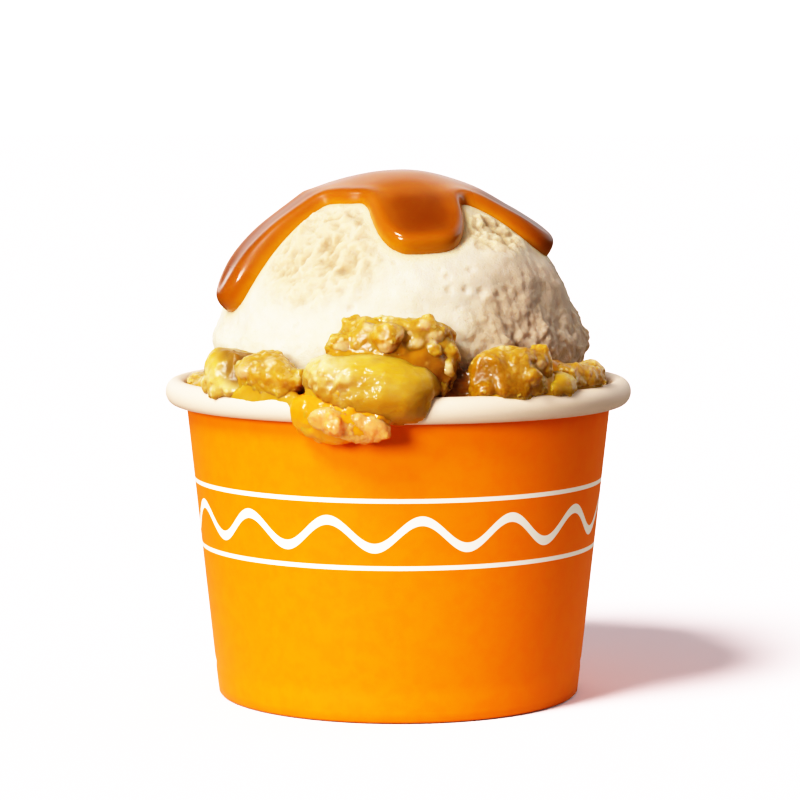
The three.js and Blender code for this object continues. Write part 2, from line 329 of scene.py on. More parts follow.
# %% [markdown]
# The world gives the fill. A white wall stands behind the cobbler, brighter at its left, and the sauce on
# top shows it as a pale sheen. The camera sees plain white instead, as it is in a product picture.

# %% White studio
FILL_STRENGTH = 0.36
WALL_STRENGTH = 1.2
LEFT_WALL_STRENGTH = 2.6
CEILING_STRENGTH = 0.14
CARD_STRENGTH = 2.0
BACKDROP_STRENGTH = 4.0

world = bpy.data.worlds.new("white_studio")
bpy.context.scene.world = world
world.use_nodes = True
sky = world.node_tree
sky.nodes.clear()
ways = add(sky, "SeparateXYZ", add(sky, "TexCoord").outputs["Generated"])
behind = add(sky, "MapRange", ways.outputs["Y"], 0.66, 0.86, interpolation_type=SOFT)
above = add(sky, "MapRange", ways.outputs["Z"], 0.0, 0.15, interpolation_type=SOFT)
wall = add(sky, "Math", behind, above, operation="MULTIPLY")
overhead = add(sky, "MapRange", ways.outputs["Z"], 0.74, 0.94, interpolation_type=SOFT)
level = add(sky, "Mix", overhead, FILL_STRENGTH, CEILING_STRENGTH)
leftwards = add(sky, "MapRange", ways.outputs["X"], -0.45, -0.05, interpolation_type=SOFT)
wall_level = add(sky, "Mix", leftwards, LEFT_WALL_STRENGTH, WALL_STRENGTH)
level = add(sky, "Mix", wall, level, wall_level)
rightwards = add(sky, "MapRange", ways.outputs["X"], 0.35, 0.8, interpolation_type=SOFT)
backwards = add(sky, "MapRange", ways.outputs["Y"], -0.15, 0.35, interpolation_type=SOFT)
card = add(sky, "Math", rightwards, backwards, operation="MULTIPLY")
level = add(sky, "Mix", card, level, CARD_STRENGTH)
fill = add(sky, "Background", (1.0, 0.985, 0.975, 1.0), level)
backdrop = add(sky, "Background", (1.0, 1.0, 1.0, 1.0), BACKDROP_STRENGTH)
seen = add(sky, "LightPath").outputs["Is Camera Ray"]
add(sky, "OutputWorld", add(sky, "MixShader", seen, fill, backdrop))
print("fill, wall and ceiling:", FILL_STRENGTH, WALL_STRENGTH, CEILING_STRENGTH)

# %% [markdown]
# The floor is a white sweep that the light burns out, so only the shadow shows on it, and that is faintly
# pink. A third light, which stands where the main one does and lights nothing but the floor, takes it to
# full white. For other rays than the camera's the floor is grey, or it would light the cobbler from below.

# %% Floor
FLOOR_LOOKS = (1.12, 0.945, 0.99, 1.0)
FLOOR_SIZE = 30  # metres, so that its far edge is out of sight
FLOOR_GAP = 0.2  # millimetres between the floor and the foot

floor_material, tree = new_material("white_sweep")
from_cup = add(tree, "VectorMath", add(tree, "TexCoord").outputs["Object"], operation="LENGTH")
near = add(tree, "MapRange", from_cup, 0.05, 0.22, interpolation_type=SOFT)
bounce = add(tree, "Mix", near, linear("#A8A19B"), linear("#32302E"), data_type="RGBA")
seen = add(tree, "LightPath").outputs["Is Camera Ray"]
lights, looks = add(tree, "BsdfDiffuse", bounce), add(tree, "BsdfDiffuse", FLOOR_LOOKS)
add(tree, "OutputMaterial", add(tree, "MixShader", seen, lights, looks))
deselect()
bpy.ops.mesh.primitive_plane_add(size=FLOOR_SIZE, location=(0, 0, -FLOOR_GAP * MM))
floor = bpy.context.object
floor.name = "floor"
floor.data.materials.append(floor_material)

unlit = bpy.data.collections.new("out_of_the_side_light")
unlit.objects.link(floor)
side_light.light_linking.receiver_collection = unlit
unlit.collection_objects[0].light_linking.link_state = "EXCLUDE"
floor_only = bpy.data.collections.new("lit_by_the_floor_light")
floor_only.objects.link(floor)
floor_light.light_linking.receiver_collection = floor_only

# %% [markdown]
# A camera doesn't record light evenly: it holds back the highlights and deepens the shadows. A tone curve
# does the same here, and it is what keeps the lit side of the ice cream from burning out.

# %% Tone curve
TONE_WHITE = 2.2  # the brightness that the curve maps to full white
TONE = [(0.02, 0.005), (0.12, 0.085), (0.3, 0.28), (0.55, 0.54), (0.9, 0.78), (1.3, 0.92), (1.8, 0.985)]

view_settings = bpy.context.scene.view_settings
view_settings.view_transform = "Standard"
view_settings.look = "None"
view_settings.use_curve_mapping = True
tone = view_settings.curve_mapping
tone.white_level = (TONE_WHITE, TONE_WHITE, TONE_WHITE)
for light, shown in TONE:
    tone.curves[3].points.new(light / TONE_WHITE, shown)
tone.update()
print("tone curve has", len(tone.curves[3].points), "points")

# %% [markdown]
# ## The paper cup
#
# A dessert cup is a cone of coated paperboard. Its lip is the board's own edge, rolled outwards until it
# closes on itself, and its foot is folded in under a raised base disc. The wall laps over itself along
# one upright seam at the back.
#
# All of that is one section carried round the axis, so it starts as a circle with many points, which is
# extruded ring by ring, each ring scaled to its radius. The last ring is merged with the first.

# %% Cup
LIP_RADIUS = 47.5
LIP_WIDTH = 4.5
LIP_BOTTOM = 58.6
ROLL_BOTTOM = 59.2  # the lowest point of the roll, which stands off the wall
CUP_HEIGHT = 64.4
WALL_TOP_RADIUS = 43.2
FOOT_RADIUS = 36.8
BOARD = 0.7
FOOT_BOARD = 1.5
FOOT_HEIGHT = 6.5
SEAM_AZIMUTH = 150
CUP_SIDES = 192
ROLL_STEPS = 24
ROLL_START = -112  # degrees in the section, where the roll leaves the wall
ROLL_TURN = 277


def wall_radius(height):
    return FOOT_RADIUS + (WALL_TOP_RADIUS - FOOT_RADIUS) * height / LIP_BOTTOM


def cup_section():
    """The cup's section as (radius, height) pairs, from the foot up the outside and down the inside."""
    foot_inside = FOOT_RADIUS - FOOT_BOARD
    section = [(foot_inside, 0.3), (foot_inside + 0.3, 0), (FOOT_RADIUS - 0.35, 0), (FOOT_RADIUS, 0.35)]
    crease = [(2, 0), (5.2, 0), (6.4, -0.14), (7.6, 0), (20, 0), (32, 0), (44, 0), (54, 0), (57.6, 0)]
    crease += [(59.3, 0), (60.2, 0.05)]
    section += [(wall_radius(height) + inset, height) for height, inset in crease]
    across, up = LIP_WIDTH / 2, (CUP_HEIGHT - ROLL_BOTTOM) / 2
    for i in range(ROLL_STEPS + 1):
        turn = math.radians(ROLL_START + ROLL_TURN * i / ROLL_STEPS)
        radius = LIP_RADIUS - across + across * math.cos(turn)
        section.append((radius, ROLL_BOTTOM + up + up * math.sin(turn)))
    section += [(wall_radius(z) - BOARD, z) for z in (LIP_BOTTOM + 1.2, 50, 30, FOOT_HEIGHT)]
    section += [(wall_radius(FOOT_HEIGHT) - FOOT_BOARD, FOOT_HEIGHT - 0.2)]
    return section


section = cup_section()
deselect()
bpy.ops.mesh.primitive_circle_add(
    vertices=CUP_SIDES, radius=section[0][0] * MM, fill_type="NOTHING", location=(0, 0, section[0][1] * MM)
)
cup = bpy.context.object
cup.name = "dessert_cup"
bpy.ops.object.transform_apply(location=True, rotation=True, scale=True)
bpy.ops.object.mode_set(mode="EDIT")
for (radius, height), (next_radius, next_height) in zip(section, section[1:] + section[:1]):
    rise = (0, 0, (next_height - height) * MM)
    bpy.ops.mesh.extrude_edges_move(TRANSFORM_OT_translate={"value": rise})
    share = next_radius / radius
    bpy.ops.transform.resize(value=(share, share, 1), center_override=(0, 0, next_height * MM))
bpy.ops.mesh.select_all(action="SELECT")
bpy.ops.mesh.remove_doubles(threshold=1e-6)
bpy.ops.mesh.normals_make_consistent(inside=False)
bpy.ops.object.mode_set(mode="OBJECT")
print("cup section of", len(section), "points")

# %% [markdown]
# A real cup isn't perfectly round: it gives a little where a hand has held it, and the seam stands out by
# the thickness of the board. Both are put into the vertices.

# %% Seam and unevenness of the cup
SEAM_HALF = 5.0  # degrees
SEAM_STEP = 0.4

places = places_of(cup)
azimuths = np.degrees(np.arctan2(places[:, 0], -places[:, 1]))
radii = np.hypot(places[:, 0], places[:, 1])
outside = (radii > wall_radius(places[:, 2]) - BOARD / 2) & (places[:, 2] < LIP_BOTTOM + 0.5)
from_seam = np.abs(turn_between(azimuths, SEAM_AZIMUTH))
step = SEAM_STEP * (1 - smooth(from_seam, SEAM_HALF - 0.6, SEAM_HALF)) * outside
give = 0.16 * np.cos(2 * np.radians(azimuths - 20)) * smooth(places[:, 2], 5, 60)
wider = (radii + step + give) / radii
put(cup, places * np.stack([wider, wider, np.ones_like(wider)], axis=1))
print("cup is", round(float(radii.max() * 2), 1), "mm across its lip")

# %% [markdown]
# ## Printed paperboard
#
# The wall is board with a thin plastic coat, printed all over. Offset ink lies under the coat, so the
# colour is even and strong and the surface has a satin sheen, while the board's fibres still show as a
# very faint grain. The print is vivid orange, with a plain white wave between two lines: the angle round
# the cup drives a sine, and the height above it decides where the white ink lies. A whole number of waves
# meets itself at the back.

# %% Printed paperboard
WAVES = 14
PRINT_HEIGHT = 37.5
WAVE_RISE = 2.7
WAVE_HALF = 0.95
LINES = [-6.6, 6.6]  # heights of the lines from the wave's middle
LINE_HALF = 0.45


def stripe(tree, value, half_width):
    """1 where value is near 0, with an edge as soft as ink on board."""
    off = add(tree, "Math", value, operation="ABSOLUTE")
    edge = (half_width - 0.06, half_width + 0.06)
    return add(tree, "MapRange", off, *edge, 1.0, 0.0, interpolation_type=SOFT)


printed_paper, tree = new_material("coated_printed_paperboard")
vector = position(tree)
x, y, z = add(tree, "SeparateXYZ", vector).outputs
turn = add(tree, "Math", x, add(tree, "Math", y, -1.0, operation="MULTIPLY"), operation="ARCTAN2")
swing = add(tree, "Math", add(tree, "Math", turn, float(WAVES), operation="MULTIPLY"), operation="SINE")
level = add(tree, "Math", z, PRINT_HEIGHT, operation="SUBTRACT")
wave = add(tree, "Math", swing, WAVE_RISE, operation="MULTIPLY")
ink = stripe(tree, add(tree, "Math", level, wave, operation="SUBTRACT"), WAVE_HALF)
for offset in LINES:
    line = stripe(tree, add(tree, "Math", level, offset, operation="SUBTRACT"), LINE_HALF)
    ink = add(tree, "Math", ink, line, operation="MAXIMUM")
clouds = add(tree, "TexNoise", vector, Scale=0.35, Detail=3.0, Roughness=0.6)
fibres = add(tree, "TexNoise", vector, Scale=3.0, Detail=2.0, Roughness=0.7)
uneven = add(tree, "MapRange", clouds, 0.3, 0.7, interpolation_type=SOFT)
orange = add(tree, "Mix", uneven, linear("#FA7200"), linear("#FA7700"), data_type="RGBA")
board = add(
    tree,
    "BsdfPrincipled",
    Base_Color=add(tree, "Mix", ink, orange, linear("#FFF4E6"), data_type="RGBA"),
    Roughness=0.5,
    Specular_IOR_Level=0.08,
    Sheen_Weight=0.16,
    Sheen_Roughness=0.3,
    Sheen_Tint=(1.0, 0.72, 0.55, 1.0),
    Normal=add(tree, "Bump", Height=fibres, Distance=0.02 * MM, Strength=0.5),
)
add(tree, "OutputMaterial", board)
print("printed board:", len(tree.nodes), "nodes")

# %% [markdown]
# The lip and the inside are bare white board under the same clear coat. Inside the lip the cobbler's
# syrup has soaked in and left a tan stain.

# %% White paperboard
white_paper, tree = new_material("white_paperboard")
vector = position(tree)
x, y, z = add(tree, "SeparateXYZ", vector).outputs
fibres = add(tree, "TexNoise", vector, Scale=2.2, Detail=4.0, Roughness=0.65)
stain = add(tree, "TexNoise", vector, Scale=0.16, Detail=3.0, Roughness=0.55)
radius = add(tree, "VectorMath", add(tree, "CombineXYZ", x, y), operation="LENGTH")
inside = add(tree, "MapRange", radius, 42.9, 44.6, 1.0, 0.0, interpolation_type=SOFT)
blotch = add(tree, "MapRange", stain, 0.3, 0.55, 0.0, 0.85, interpolation_type=SOFT)
high = add(tree, "MapRange", z, 54.0, 58.0, interpolation_type=SOFT)
syrup_stain_and_shade = add(tree, "Math", inside, blotch, operation="MULTIPLY")
syrup_stain_and_shade = add(tree, "Math", syrup_stain_and_shade, high, operation="MULTIPLY")
plain = add(tree, "Mix", fibres, linear("#E3C7AE"), linear("#EACFB6"), data_type="RGBA")
board = add(
    tree,
    "BsdfPrincipled",
    Base_Color=add(tree, "Mix", syrup_stain_and_shade, plain, linear("#BE9058"), data_type="RGBA"),
    Roughness=0.5,
    Subsurface_Weight=0.12,
    Subsurface_Radius=(1.0, 0.8, 0.6),
    Subsurface_Scale=0.6 * MM,
    Normal=add(tree, "Bump", Height=fibres, Distance=0.03 * MM, Strength=0.5),
)
add(tree, "OutputMaterial", board)
print("white board:", len(tree.nodes), "nodes")

# %% [markdown]
# The cup is one mesh with two materials. The faces of the wall that look outwards get the print.

# %% Print on the wall
cup.data.materials.append(printed_paper)
cup.data.materials.append(white_paper)
for face in cup.data.polygons:
    centre = face.center / MM
    outward = face.normal.x * centre.x + face.normal.y * centre.y
    from_wall = centre.xy.length - wall_radius(centre.z)
    on_wall = 0.01 < centre.z < LIP_BOTTOM + 0.9 and -0.5 < from_wall < 0.9
    face.material_index = 0 if on_wall and outward > 0 else 1
finish_piece(cup, None, "printed_paperboard", "paper_cup")

# %% [markdown]
# The base disc is a plain round of white board, set into the foot. It starts as a flat cylinder, and a
# small bevel takes the sharpness off its edge, as the die does that cuts it.

# %% Base disc
BASE_LOW = 6.85
BASE_BOARD = 0.8

deselect()
base_radius = wall_radius(BASE_LOW) - BOARD - 0.35
bpy.ops.mesh.primitive_cylinder_add(
    vertices=96,
    radius=base_radius * MM,
    depth=BASE_BOARD * MM,
    location=(0, 0, (BASE_LOW + BASE_BOARD / 2) * MM),
)
disc = bpy.context.object
disc.name = "base_disc"
bpy.ops.object.transform_apply(location=True, rotation=True, scale=True)
apply_modifier(disc, "BEVEL", width=0.2 * MM, segments=2, limit_method="ANGLE")
finish_piece(disc, white_paper, "white_paperboard", "cup_base")

# %% [markdown]
# ## The scoop
#
# A scoop of ice cream is never a smooth ball. The spade shears it off the tub, so it is torn where it
# broke away and smooth where the metal pressed it; its widest line carries a ragged skirt; and small air
# bubbles leave pits in it. The solid already has the large forms. The copy is remeshed to half a
# millimetre and each vertex is then moved by a few layers of noise, each of which has its own area on
# the scoop: smooth and pitted in front and on the left, crumbly beside the sauce, sheared upright on the
# right, ragged along the skirt.

# %% Scoop and sauce border
SCOOP_RADIUS = 37.3
SCOOP_CENTRE = 67.5
SCOOP_UNDERSIDE = 16.0
SAUCE_REACH = 27.5
BORDER_STEPS = 14400
RUNS = [  # azimuth, half width, extra reach and squareness
    (-70, 14.2, 43.8, 4.6),
    (10.5, 26.4, 23.2, 4.2),
    (83, 24, 23.2, 3.6),
    (140, 15, 35, 4),
    (186, 19, 21, 3.4),
    (236, 13, 39, 4),
]


def runs_at(azimuth):
    most = np.zeros_like(azimuth)
    for centre, half, extra, corner in RUNS:
        off = np.abs(turn_between(azimuth, centre)) / half
        round_end = 1 - 0.25 * np.minimum(off, 1) ** 2
        most = np.maximum(most, extra * round_end * np.exp(-(off**corner)))
    return most


def sauce_reach(azimuth):
    """How far the sauce comes down the scoop, in degrees from the top."""
    wobble = 0.7 * np.sin(np.radians(7 * azimuth + 40)) + 0.5 * np.sin(np.radians(13 * azimuth + 110))
    return SAUCE_REACH + 4 * (1 - np.cos(np.radians(azimuth))) + runs_at(azimuth) + wobble


def angles_of(direction):
    """Azimuths and polar angles of directions, in degrees."""
    azimuth = np.degrees(np.arctan2(direction[:, 0], -direction[:, 1]))
    return azimuth, np.degrees(np.arccos(np.clip(direction[:, 2], -1, 1)))


def on_scoop(places):
    """Azimuth and polar angle of places about the scoop's centre, and their directions."""
    off = places - np.array([0, 0, SCOOP_CENTRE])
    off[:, 2] = np.where(off[:, 2] < 0, off[:, 2] * SCOOP_RADIUS / SCOOP_UNDERSIDE, off[:, 2])
    direction = off / np.linalg.norm(off, axis=1)[:, None]
    return *angles_of(direction), direction


def from_border(direction):
    """Distance in millimetres from the sauce's border, positive under the sauce."""
    steps = np.linspace(-180, 180, BORDER_STEPS + 1)[:-1]
    reach = np.radians(sauce_reach(steps))
    turn = np.radians(steps)
    line = np.stack([np.sin(reach) * np.sin(turn), -np.sin(reach) * np.cos(turn), np.cos(reach)], axis=1)
    tree = kdtree.KDTree(len(line))
    for i, point in enumerate(line):
        tree.insert(point, i)
    tree.balance()
    azimuth, polar = angles_of(direction)
    side = np.where(polar < sauce_reach(azimuth), 1.0, -1.0)
    off = np.array([tree.find(d)[2] for d in direction])
    return side * off * SCOOP_RADIUS


scoop = copy_of("ice_cream_scoop", "vanilla_scoop", voxel=0.5, ease=36)
places = places_of(scoop)
azimuth, polar, direction = on_scoop(places)
print("scoop has", len(places), "points")

# %% [markdown]
# Noise of one kind isn't enough. Ridged noise makes the sharp crests of torn ice cream, plain noise makes
# lumps, and cell noise makes pits. On the right the ridges are stretched upright, the way the spade
# sheared them.

# %% Torn relief
noise.seed_set(5)  # without it, the noise that turns vectors follows the clock


def layer(places, wavelength, octaves=3, stretch=(1, 1, 1), seed=0.0):
    """Smooth noise of about -1 to 1 at each place, with features of wavelength millimetres."""
    scale = np.array(stretch) / wavelength
    return np.array([noise.fractal(Vector(p * scale + seed), 1.0, 2.0, octaves) for p in places])


def crests(places, wavelength, octaves=4, stretch=(1, 1, 1), seed=0.0):
    """Ridged noise from 0 to about 1, with sharp crests."""
    scale = np.array(stretch) / wavelength
    spots = [Vector(p * scale + seed) for p in places]
    values = [noise.ridged_multi_fractal(spot, 0.9, 2.1, octaves, 0.9, 2.0) for spot in spots]
    return np.clip(np.array(values) / 2.2, 0, 1.3)


def pits(places, spacing, seed=0.0):
    """1 at the middle of a scattered pit and 0 away from it."""
    values = [noise.voronoi(Vector(p / spacing + seed))[0][0] for p in places]
    return 1 - smooth(np.array(values), 0.12, 0.34)


def patch(azimuth, polar, middle, spread):
    """1 in the middle of an oval area of the scoop and 0 outside it."""
    off = np.hypot(turn_between(azimuth, middle[0]) / spread[0], (polar - middle[1]) / spread[1])
    return 1 - smooth(off, 0.55, 1.15)


border = from_border(direction)
bare = smooth(-border, 0.3, 2.5)
shown = 1 - smooth(polar, 104, 120)
right = smooth(azimuth, 22, 62) * (1 - smooth(azimuth, 150, 175)) * smooth(polar, 48, 64)
# away from the lights: this side gets a painted shade in the material
away_from_lights = smooth(azimuth, -2, 52) * (1 - smooth(azimuth, 150, 175)) * smooth(polar, 44, 60)
crumbly = np.maximum(patch(azimuth, polar, (-33, 49), (30, 23)), patch(azimuth, polar, (47, 43), (22, 11)))
clods_and_shade = patch(azimuth, polar, (38, 76), (19, 14))
rear = smooth(np.abs(azimuth), 120, 160) * smooth(polar, 40, 60)
skirt = smooth(polar, 70, 80) * (1 - smooth(polar, 96, 104)) * (0.35 + 0.65 * smooth(azimuth, -10, 60))
lumps = layer(places, 9, 3, seed=3.1)
fine = layer(places, 1.7, 3, seed=7.7)
torn = crests(places, 3.2, 4, (1, 1, 0.4), seed=1.3)
broken = crests(places, 3.0, 4, seed=5.9)
height = 0.35 * lumps + 0.05 * fine
clots = layer(places, 3.6, 4, seed=4.7)
height += right * (0.45 * (torn - 0.55) + 0.1 * fine + 0.2 * clots)
height += crumbly * (1.5 * (0.5 - broken) + 0.35 * fine + 0.9 * clots)
height += clods_and_shade * (0.4 * (0.5 - broken) + 0.25 * fine + 0.4 * clots)
height += 0.7 * rear * (torn - 0.5)
height += skirt * ((0.5 + 1.1 * smooth(azimuth, 72, 92)) * (broken - 0.45) + 0.3 * fine)
height += 0.16 * clots * (1 - right) * (1 - crumbly)
pitted = smooth(layer(places, 8, 2, seed=9), -0.2, 0.2) * (1 - right) * (1 - crumbly)
height -= 0.45 * pits(places, 3.2, 0.4) * pitted
grow(scoop, height * bare * shown)
remember(scoop, "torn", np.clip(right + crumbly + clods_and_shade + 0.8 * skirt + 0.6 * rear, 0, 1))
remember(scoop, "crumbly", crumbly * bare)
# The crevices of the crumbly patch get a painted shade.
remember(scoop, "crevice_shade", np.clip(crumbly + 0.2 * right, 0, 1) * bare * smooth(-height, -0.4, 0.7))
# The side turned from the lights gets a painted shade.
remember(scoop, "shaded_side", away_from_lights * bare)
# The clods low on the right, under the ledge, get a painted shade.
remember(scoop, "clods_and_shade", clods_and_shade)
remember(scoop, "melt", smooth(-border, 2.6, 0.2) * smooth(-border, -1.5, 0.2))
print("relief from", round(float(height.min()), 2), "to", round(float(height.max()), 2), "mm")

# %% [markdown]
# ## Vanilla ice cream
#
# Ice cream is a foam of ice, fat and air. Light goes in, scatters among the tiny crystals and comes out
# nearby a little warmer, so its shadows are never grey. That is subsurface scattering, a few millimetres
# deep. Where the spade pressed it, the surface is smooth and slightly wet; where it is torn, it is dry
# and rough, and the crystals show as a fine grain of about half a millimetre.
# Shade is painted into its colour as well: on the side turned from the lights, on the clods low on the right
# and in the crevices of the crumbly patch.

# %% Ice cream material
ice_cream, tree = new_material("vanilla_ice_cream")
vector = position(tree)
torn_area = add(tree, "Attribute", attribute_name="torn").outputs["Fac"]
clouds = add(tree, "TexNoise", vector, Scale=0.12, Detail=4.0, Roughness=0.6)
crystals = add(tree, "TexNoise", vector, Scale=2.4, Detail=3.0, Roughness=0.7)
bubbles = add(tree, "TexVoronoi", vector, Scale=0.9)
hollow = add(tree, "MapRange", bubbles, 0.0, 0.28, interpolation_type=SOFT)
cloudy = add(tree, "MapRange", clouds, 0.35, 0.65, interpolation_type=SOFT)
cream = add(tree, "Mix", cloudy, linear("#D8C6AA"), linear("#DFD0B8"), data_type="RGBA")
# The tints on the side turned from the lights, on the clods and in the crevices are painted shade.
CREAM_TINTS = (  # where, how much, and the warmer colour that lies there
    ("torn", 0.5, "#D8C196"),
    ("crumbly", 0.6, "#CAAA84"),
    ("shaded_side", 0.6, "#AC8C7E"),
    ("clods_and_shade", 0.5, "#9A7C64"),
    ("crevice_shade", 0.7, "#A8865E"),
    ("melt", 0.5, "#D9B274"),
)
cream = tinted(tree, cream, CREAM_TINTS)
grain = add(tree, "Bump", Height=crystals, Distance=0.35 * MM, Strength=0.55)
foam = add(
    tree,
    "BsdfPrincipled",
    Base_Color=cream,
    Roughness=add(tree, "MapRange", torn_area, 0.0, 1.0, 0.42, 0.62),
    IOR=1.36,
    Subsurface_Weight=0.7,
    Subsurface_Radius=(1.0, 0.7, 0.45),
    Subsurface_Scale=3.6 * MM,
    Specular_IOR_Level=0.35,
    Normal=add(tree, "Bump", Height=hollow, Distance=0.25 * MM, Strength=0.35, Normal=grain),
)
add(tree, "OutputMaterial", foam)
finish_piece(scoop, ice_cream, "vanilla_ice_cream", "ice_cream_scoop")

# %% [markdown]
# ## The caramel on the scoop
#
# Caramel is thick enough to stand where it stops. Poured over a ball it makes a smooth cap whose border
# is a rounded bead, with runs that end in heavy drops. The shape is a height above the scoop that depends
# on one thing: how far a point is from the border. It rises steeply as a quarter circle from the border
# and is level after that, and it is thicker towards the end of a run.
#
# It starts as an icosphere, because its faces are even all over. The faces beyond the border are deleted,
# the rest is lifted, and the skin's edge is drawn in under the surface of the ice cream and closed there.
# Last, the skin is eased, as a liquid has no creases.

# %% Caramel cap
SAUCE_THICKNESS = 1.6
SAUCE_BEAD = 3.1
SKIN_MARGIN = 1.2  # how far the skin goes on beyond the border, below the ice cream
LOWEST_RUN = 80  # degrees from the top that no run goes past
FAR_OUTSIDE = -99.0

deselect()
bpy.ops.mesh.primitive_ico_sphere_add(subdivisions=8, radius=SCOOP_RADIUS * MM, location=(0, 0, 0))
sauce = bpy.context.object
sauce.name = "caramel_cap"
direction = places_of(sauce) / SCOOP_RADIUS
upper = direction[:, 2] > math.cos(math.radians(LOWEST_RUN))
depth = np.full(len(direction), FAR_OUTSIDE)
depth[upper] = from_border(direction[upper])
bpy.ops.object.mode_set(mode="EDIT")
bpy.ops.mesh.select_mode(type="VERT")
bpy.ops.mesh.select_all(action="DESELECT")
bpy.ops.object.mode_set(mode="OBJECT")
sauce.data.vertices.foreach_set("select", depth < -SKIN_MARGIN)
bpy.ops.object.mode_set(mode="EDIT")
bpy.ops.mesh.delete(type="VERT")
bpy.ops.object.mode_set(mode="OBJECT")

direction = places_of(sauce)
direction /= np.linalg.norm(direction, axis=1)[:, None]
depth = from_border(direction)
azimuth, polar = angles_of(direction)
places = direction * SCOOP_RADIUS
along = smooth(polar, 32, 62) * smooth(runs_at(azimuth), 4, 20)
full = SAUCE_THICKNESS + (SAUCE_BEAD - SAUCE_THICKNESS) * along
full = full + 0.3 * layer(places, 14, 2, seed=2.2)
bead = 1.8 + 1.1 * along  # how far in from the border the sauce reaches its full height
near = np.clip(1 - depth / bead, 0, 1)
round_edge = np.sqrt(np.clip(1 - near**2.2, 0, 1))
swell = 0.35 * np.exp(-(((depth - bead) / 1.6) ** 2))
lift = np.where(depth > 0, 0.25 + full * round_edge + swell * round_edge, 0.25 + 1.2 * depth)
put(sauce, places + direction * lift[:, None] + np.array([0, 0, SCOOP_CENTRE]))
# The top is made paler, as a painted sheen, and the lower edge of the tongue lighter, as painted light.
thin_top_and_sheen = 0.35 * (1 - smooth(polar, 22, 34)) * smooth(depth, 1, 5)
lit_edge = 0.22 * (1 - smooth(depth, 0.5, 4)) * smooth(polar, 44, 50) * (1 - smooth(np.abs(azimuth), 34, 44))
pooled = 0.3 * smooth(depth, -0.2, 0.5) + 0.4 * smooth(depth, 0.5, 7) + 0.15 * smooth(lift, 1.5, 3.6)
# The runs on the right are made darker, as painted shade.
on_right = smooth(azimuth, 45, 70) * (1 - smooth(azimuth, 110, 165))
painted_shade_right = 0.35 * on_right * smooth(polar, 16, 36)
remember(sauce, "thickness_and_painted_light", pooled * (1 + painted_shade_right) - thin_top_and_sheen - lit_edge)
aside = np.maximum(smooth(-azimuth, 16, 30), smooth(azimuth, 40, 60))
upper_run = aside * smooth(polar, 20, 30) * (1 - smooth(polar, 58, 64))
remember(sauce, "dull", upper_run)
print("sauce is up to", round(float(lift.max()), 2), "mm thick")

# %% Close the caramel's skin under the ice cream
SKIN_SHRINK = 0.9
SHRINK_HEIGHT = 8  # of the point that the edge is drawn towards, above the scoop's centre

pick(sauce)
bpy.ops.object.mode_set(mode="EDIT")
bpy.ops.mesh.select_all(action="SELECT")
bpy.ops.mesh.region_to_loop()
bpy.ops.mesh.extrude_edges_move(TRANSFORM_OT_translate={"value": (0, 0, 0)})
middle = (0, 0, (SCOOP_CENTRE + SHRINK_HEIGHT) * MM)
bpy.ops.transform.resize(value=[SKIN_SHRINK] * 3, center_override=middle)
bpy.ops.mesh.extrude_edges_move(TRANSFORM_OT_translate={"value": (0, 0, 0)})
bpy.ops.mesh.merge(type="CENTER")
bpy.ops.mesh.select_all(action="SELECT")
bpy.ops.mesh.normals_make_consistent(inside=False)
bpy.ops.object.mode_set(mode="OBJECT")
apply_modifier(sauce, "SMOOTH", factor=0.5, iterations=14)
print("caramel cap has", len(sauce.data.vertices), "points")

# %% [markdown]
# ## Caramel sauce
#
# Caramel is sugar cooked to amber with cream. It is clear enough for light to go through a thin film and
# dark where it lies deep: gold at its border, red-brown in the bead of a run. The skin remembers how
# thick it is at each point, and painted light goes into the same number: the top is paler, as a painted
# sheen, the lower edge of the tongue lighter, as painted light, and the runs on the right darker, as
# painted shade. A ramp turns that into the colour. Its surface is as smooth as glass, so it has a sharp
# coat, which is duller where the film has begun to set, on the slopes above the drops.

# %% Caramel material
caramel, tree = new_material("caramel_sauce")
vector = position(tree)
swirl = add(tree, "TexNoise", vector, Scale=0.09, Detail=2.0, Roughness=0.5)
uneven = add(tree, "MapRange", swirl, 0.0, 1.0, -0.17, 0.17)
thick = add(tree, "Attribute", attribute_name="thickness_and_painted_light").outputs["Fac"]
deep = add(tree, "Math", thick, uneven, operation="ADD")
dull = add(tree, "Attribute", attribute_name="dull").outputs["Fac"]
syrup = add(
    tree,
    "BsdfPrincipled",
    Base_Color=add(
        tree, "ValToRGB", deep, stops=[(0.0, "#B66C0C"), (0.3, "#A45606"), (0.6, "#7E3C02"), (1.0, "#602800")]
    ),
    Roughness=0.3,
    IOR=1.48,
    Specular_IOR_Level=0.05,
    Subsurface_Weight=0.35,
    Subsurface_Radius=(1.0, 0.3, 0.05),
    Subsurface_Scale=2.0 * MM,
    Coat_Weight=add(tree, "MapRange", dull, 0.0, 1.0, 0.6, 0.3),
    Coat_Roughness=add(tree, "MapRange", dull, 0.0, 1.0, 0.06, 0.4),
    Coat_IOR=1.45,
)
add(tree, "OutputMaterial", syrup)
finish_piece(sauce, caramel, "caramel_sauce", "caramel_sauce")

# %% [markdown]
# ## Crumbs on a surface
#
# Crumble is flour, butter, sugar and nuts rubbed into crumbs of one to four millimetres, which bake
# together and soak up syrup. They are raised on a piece as relief: the cells of Voronoi noise. Each
# vertex knows its nearest cell, stands higher in the middle of it and lower between cells, and keeps the
# cell's own random tone. Some crumbs stand proud and some are drowned, so each cell has its own height.
#
# A few larger flakes of nut show at the front, pale and a little pink. They are part of the relief, too,
# because they lie half sunk under the glaze.

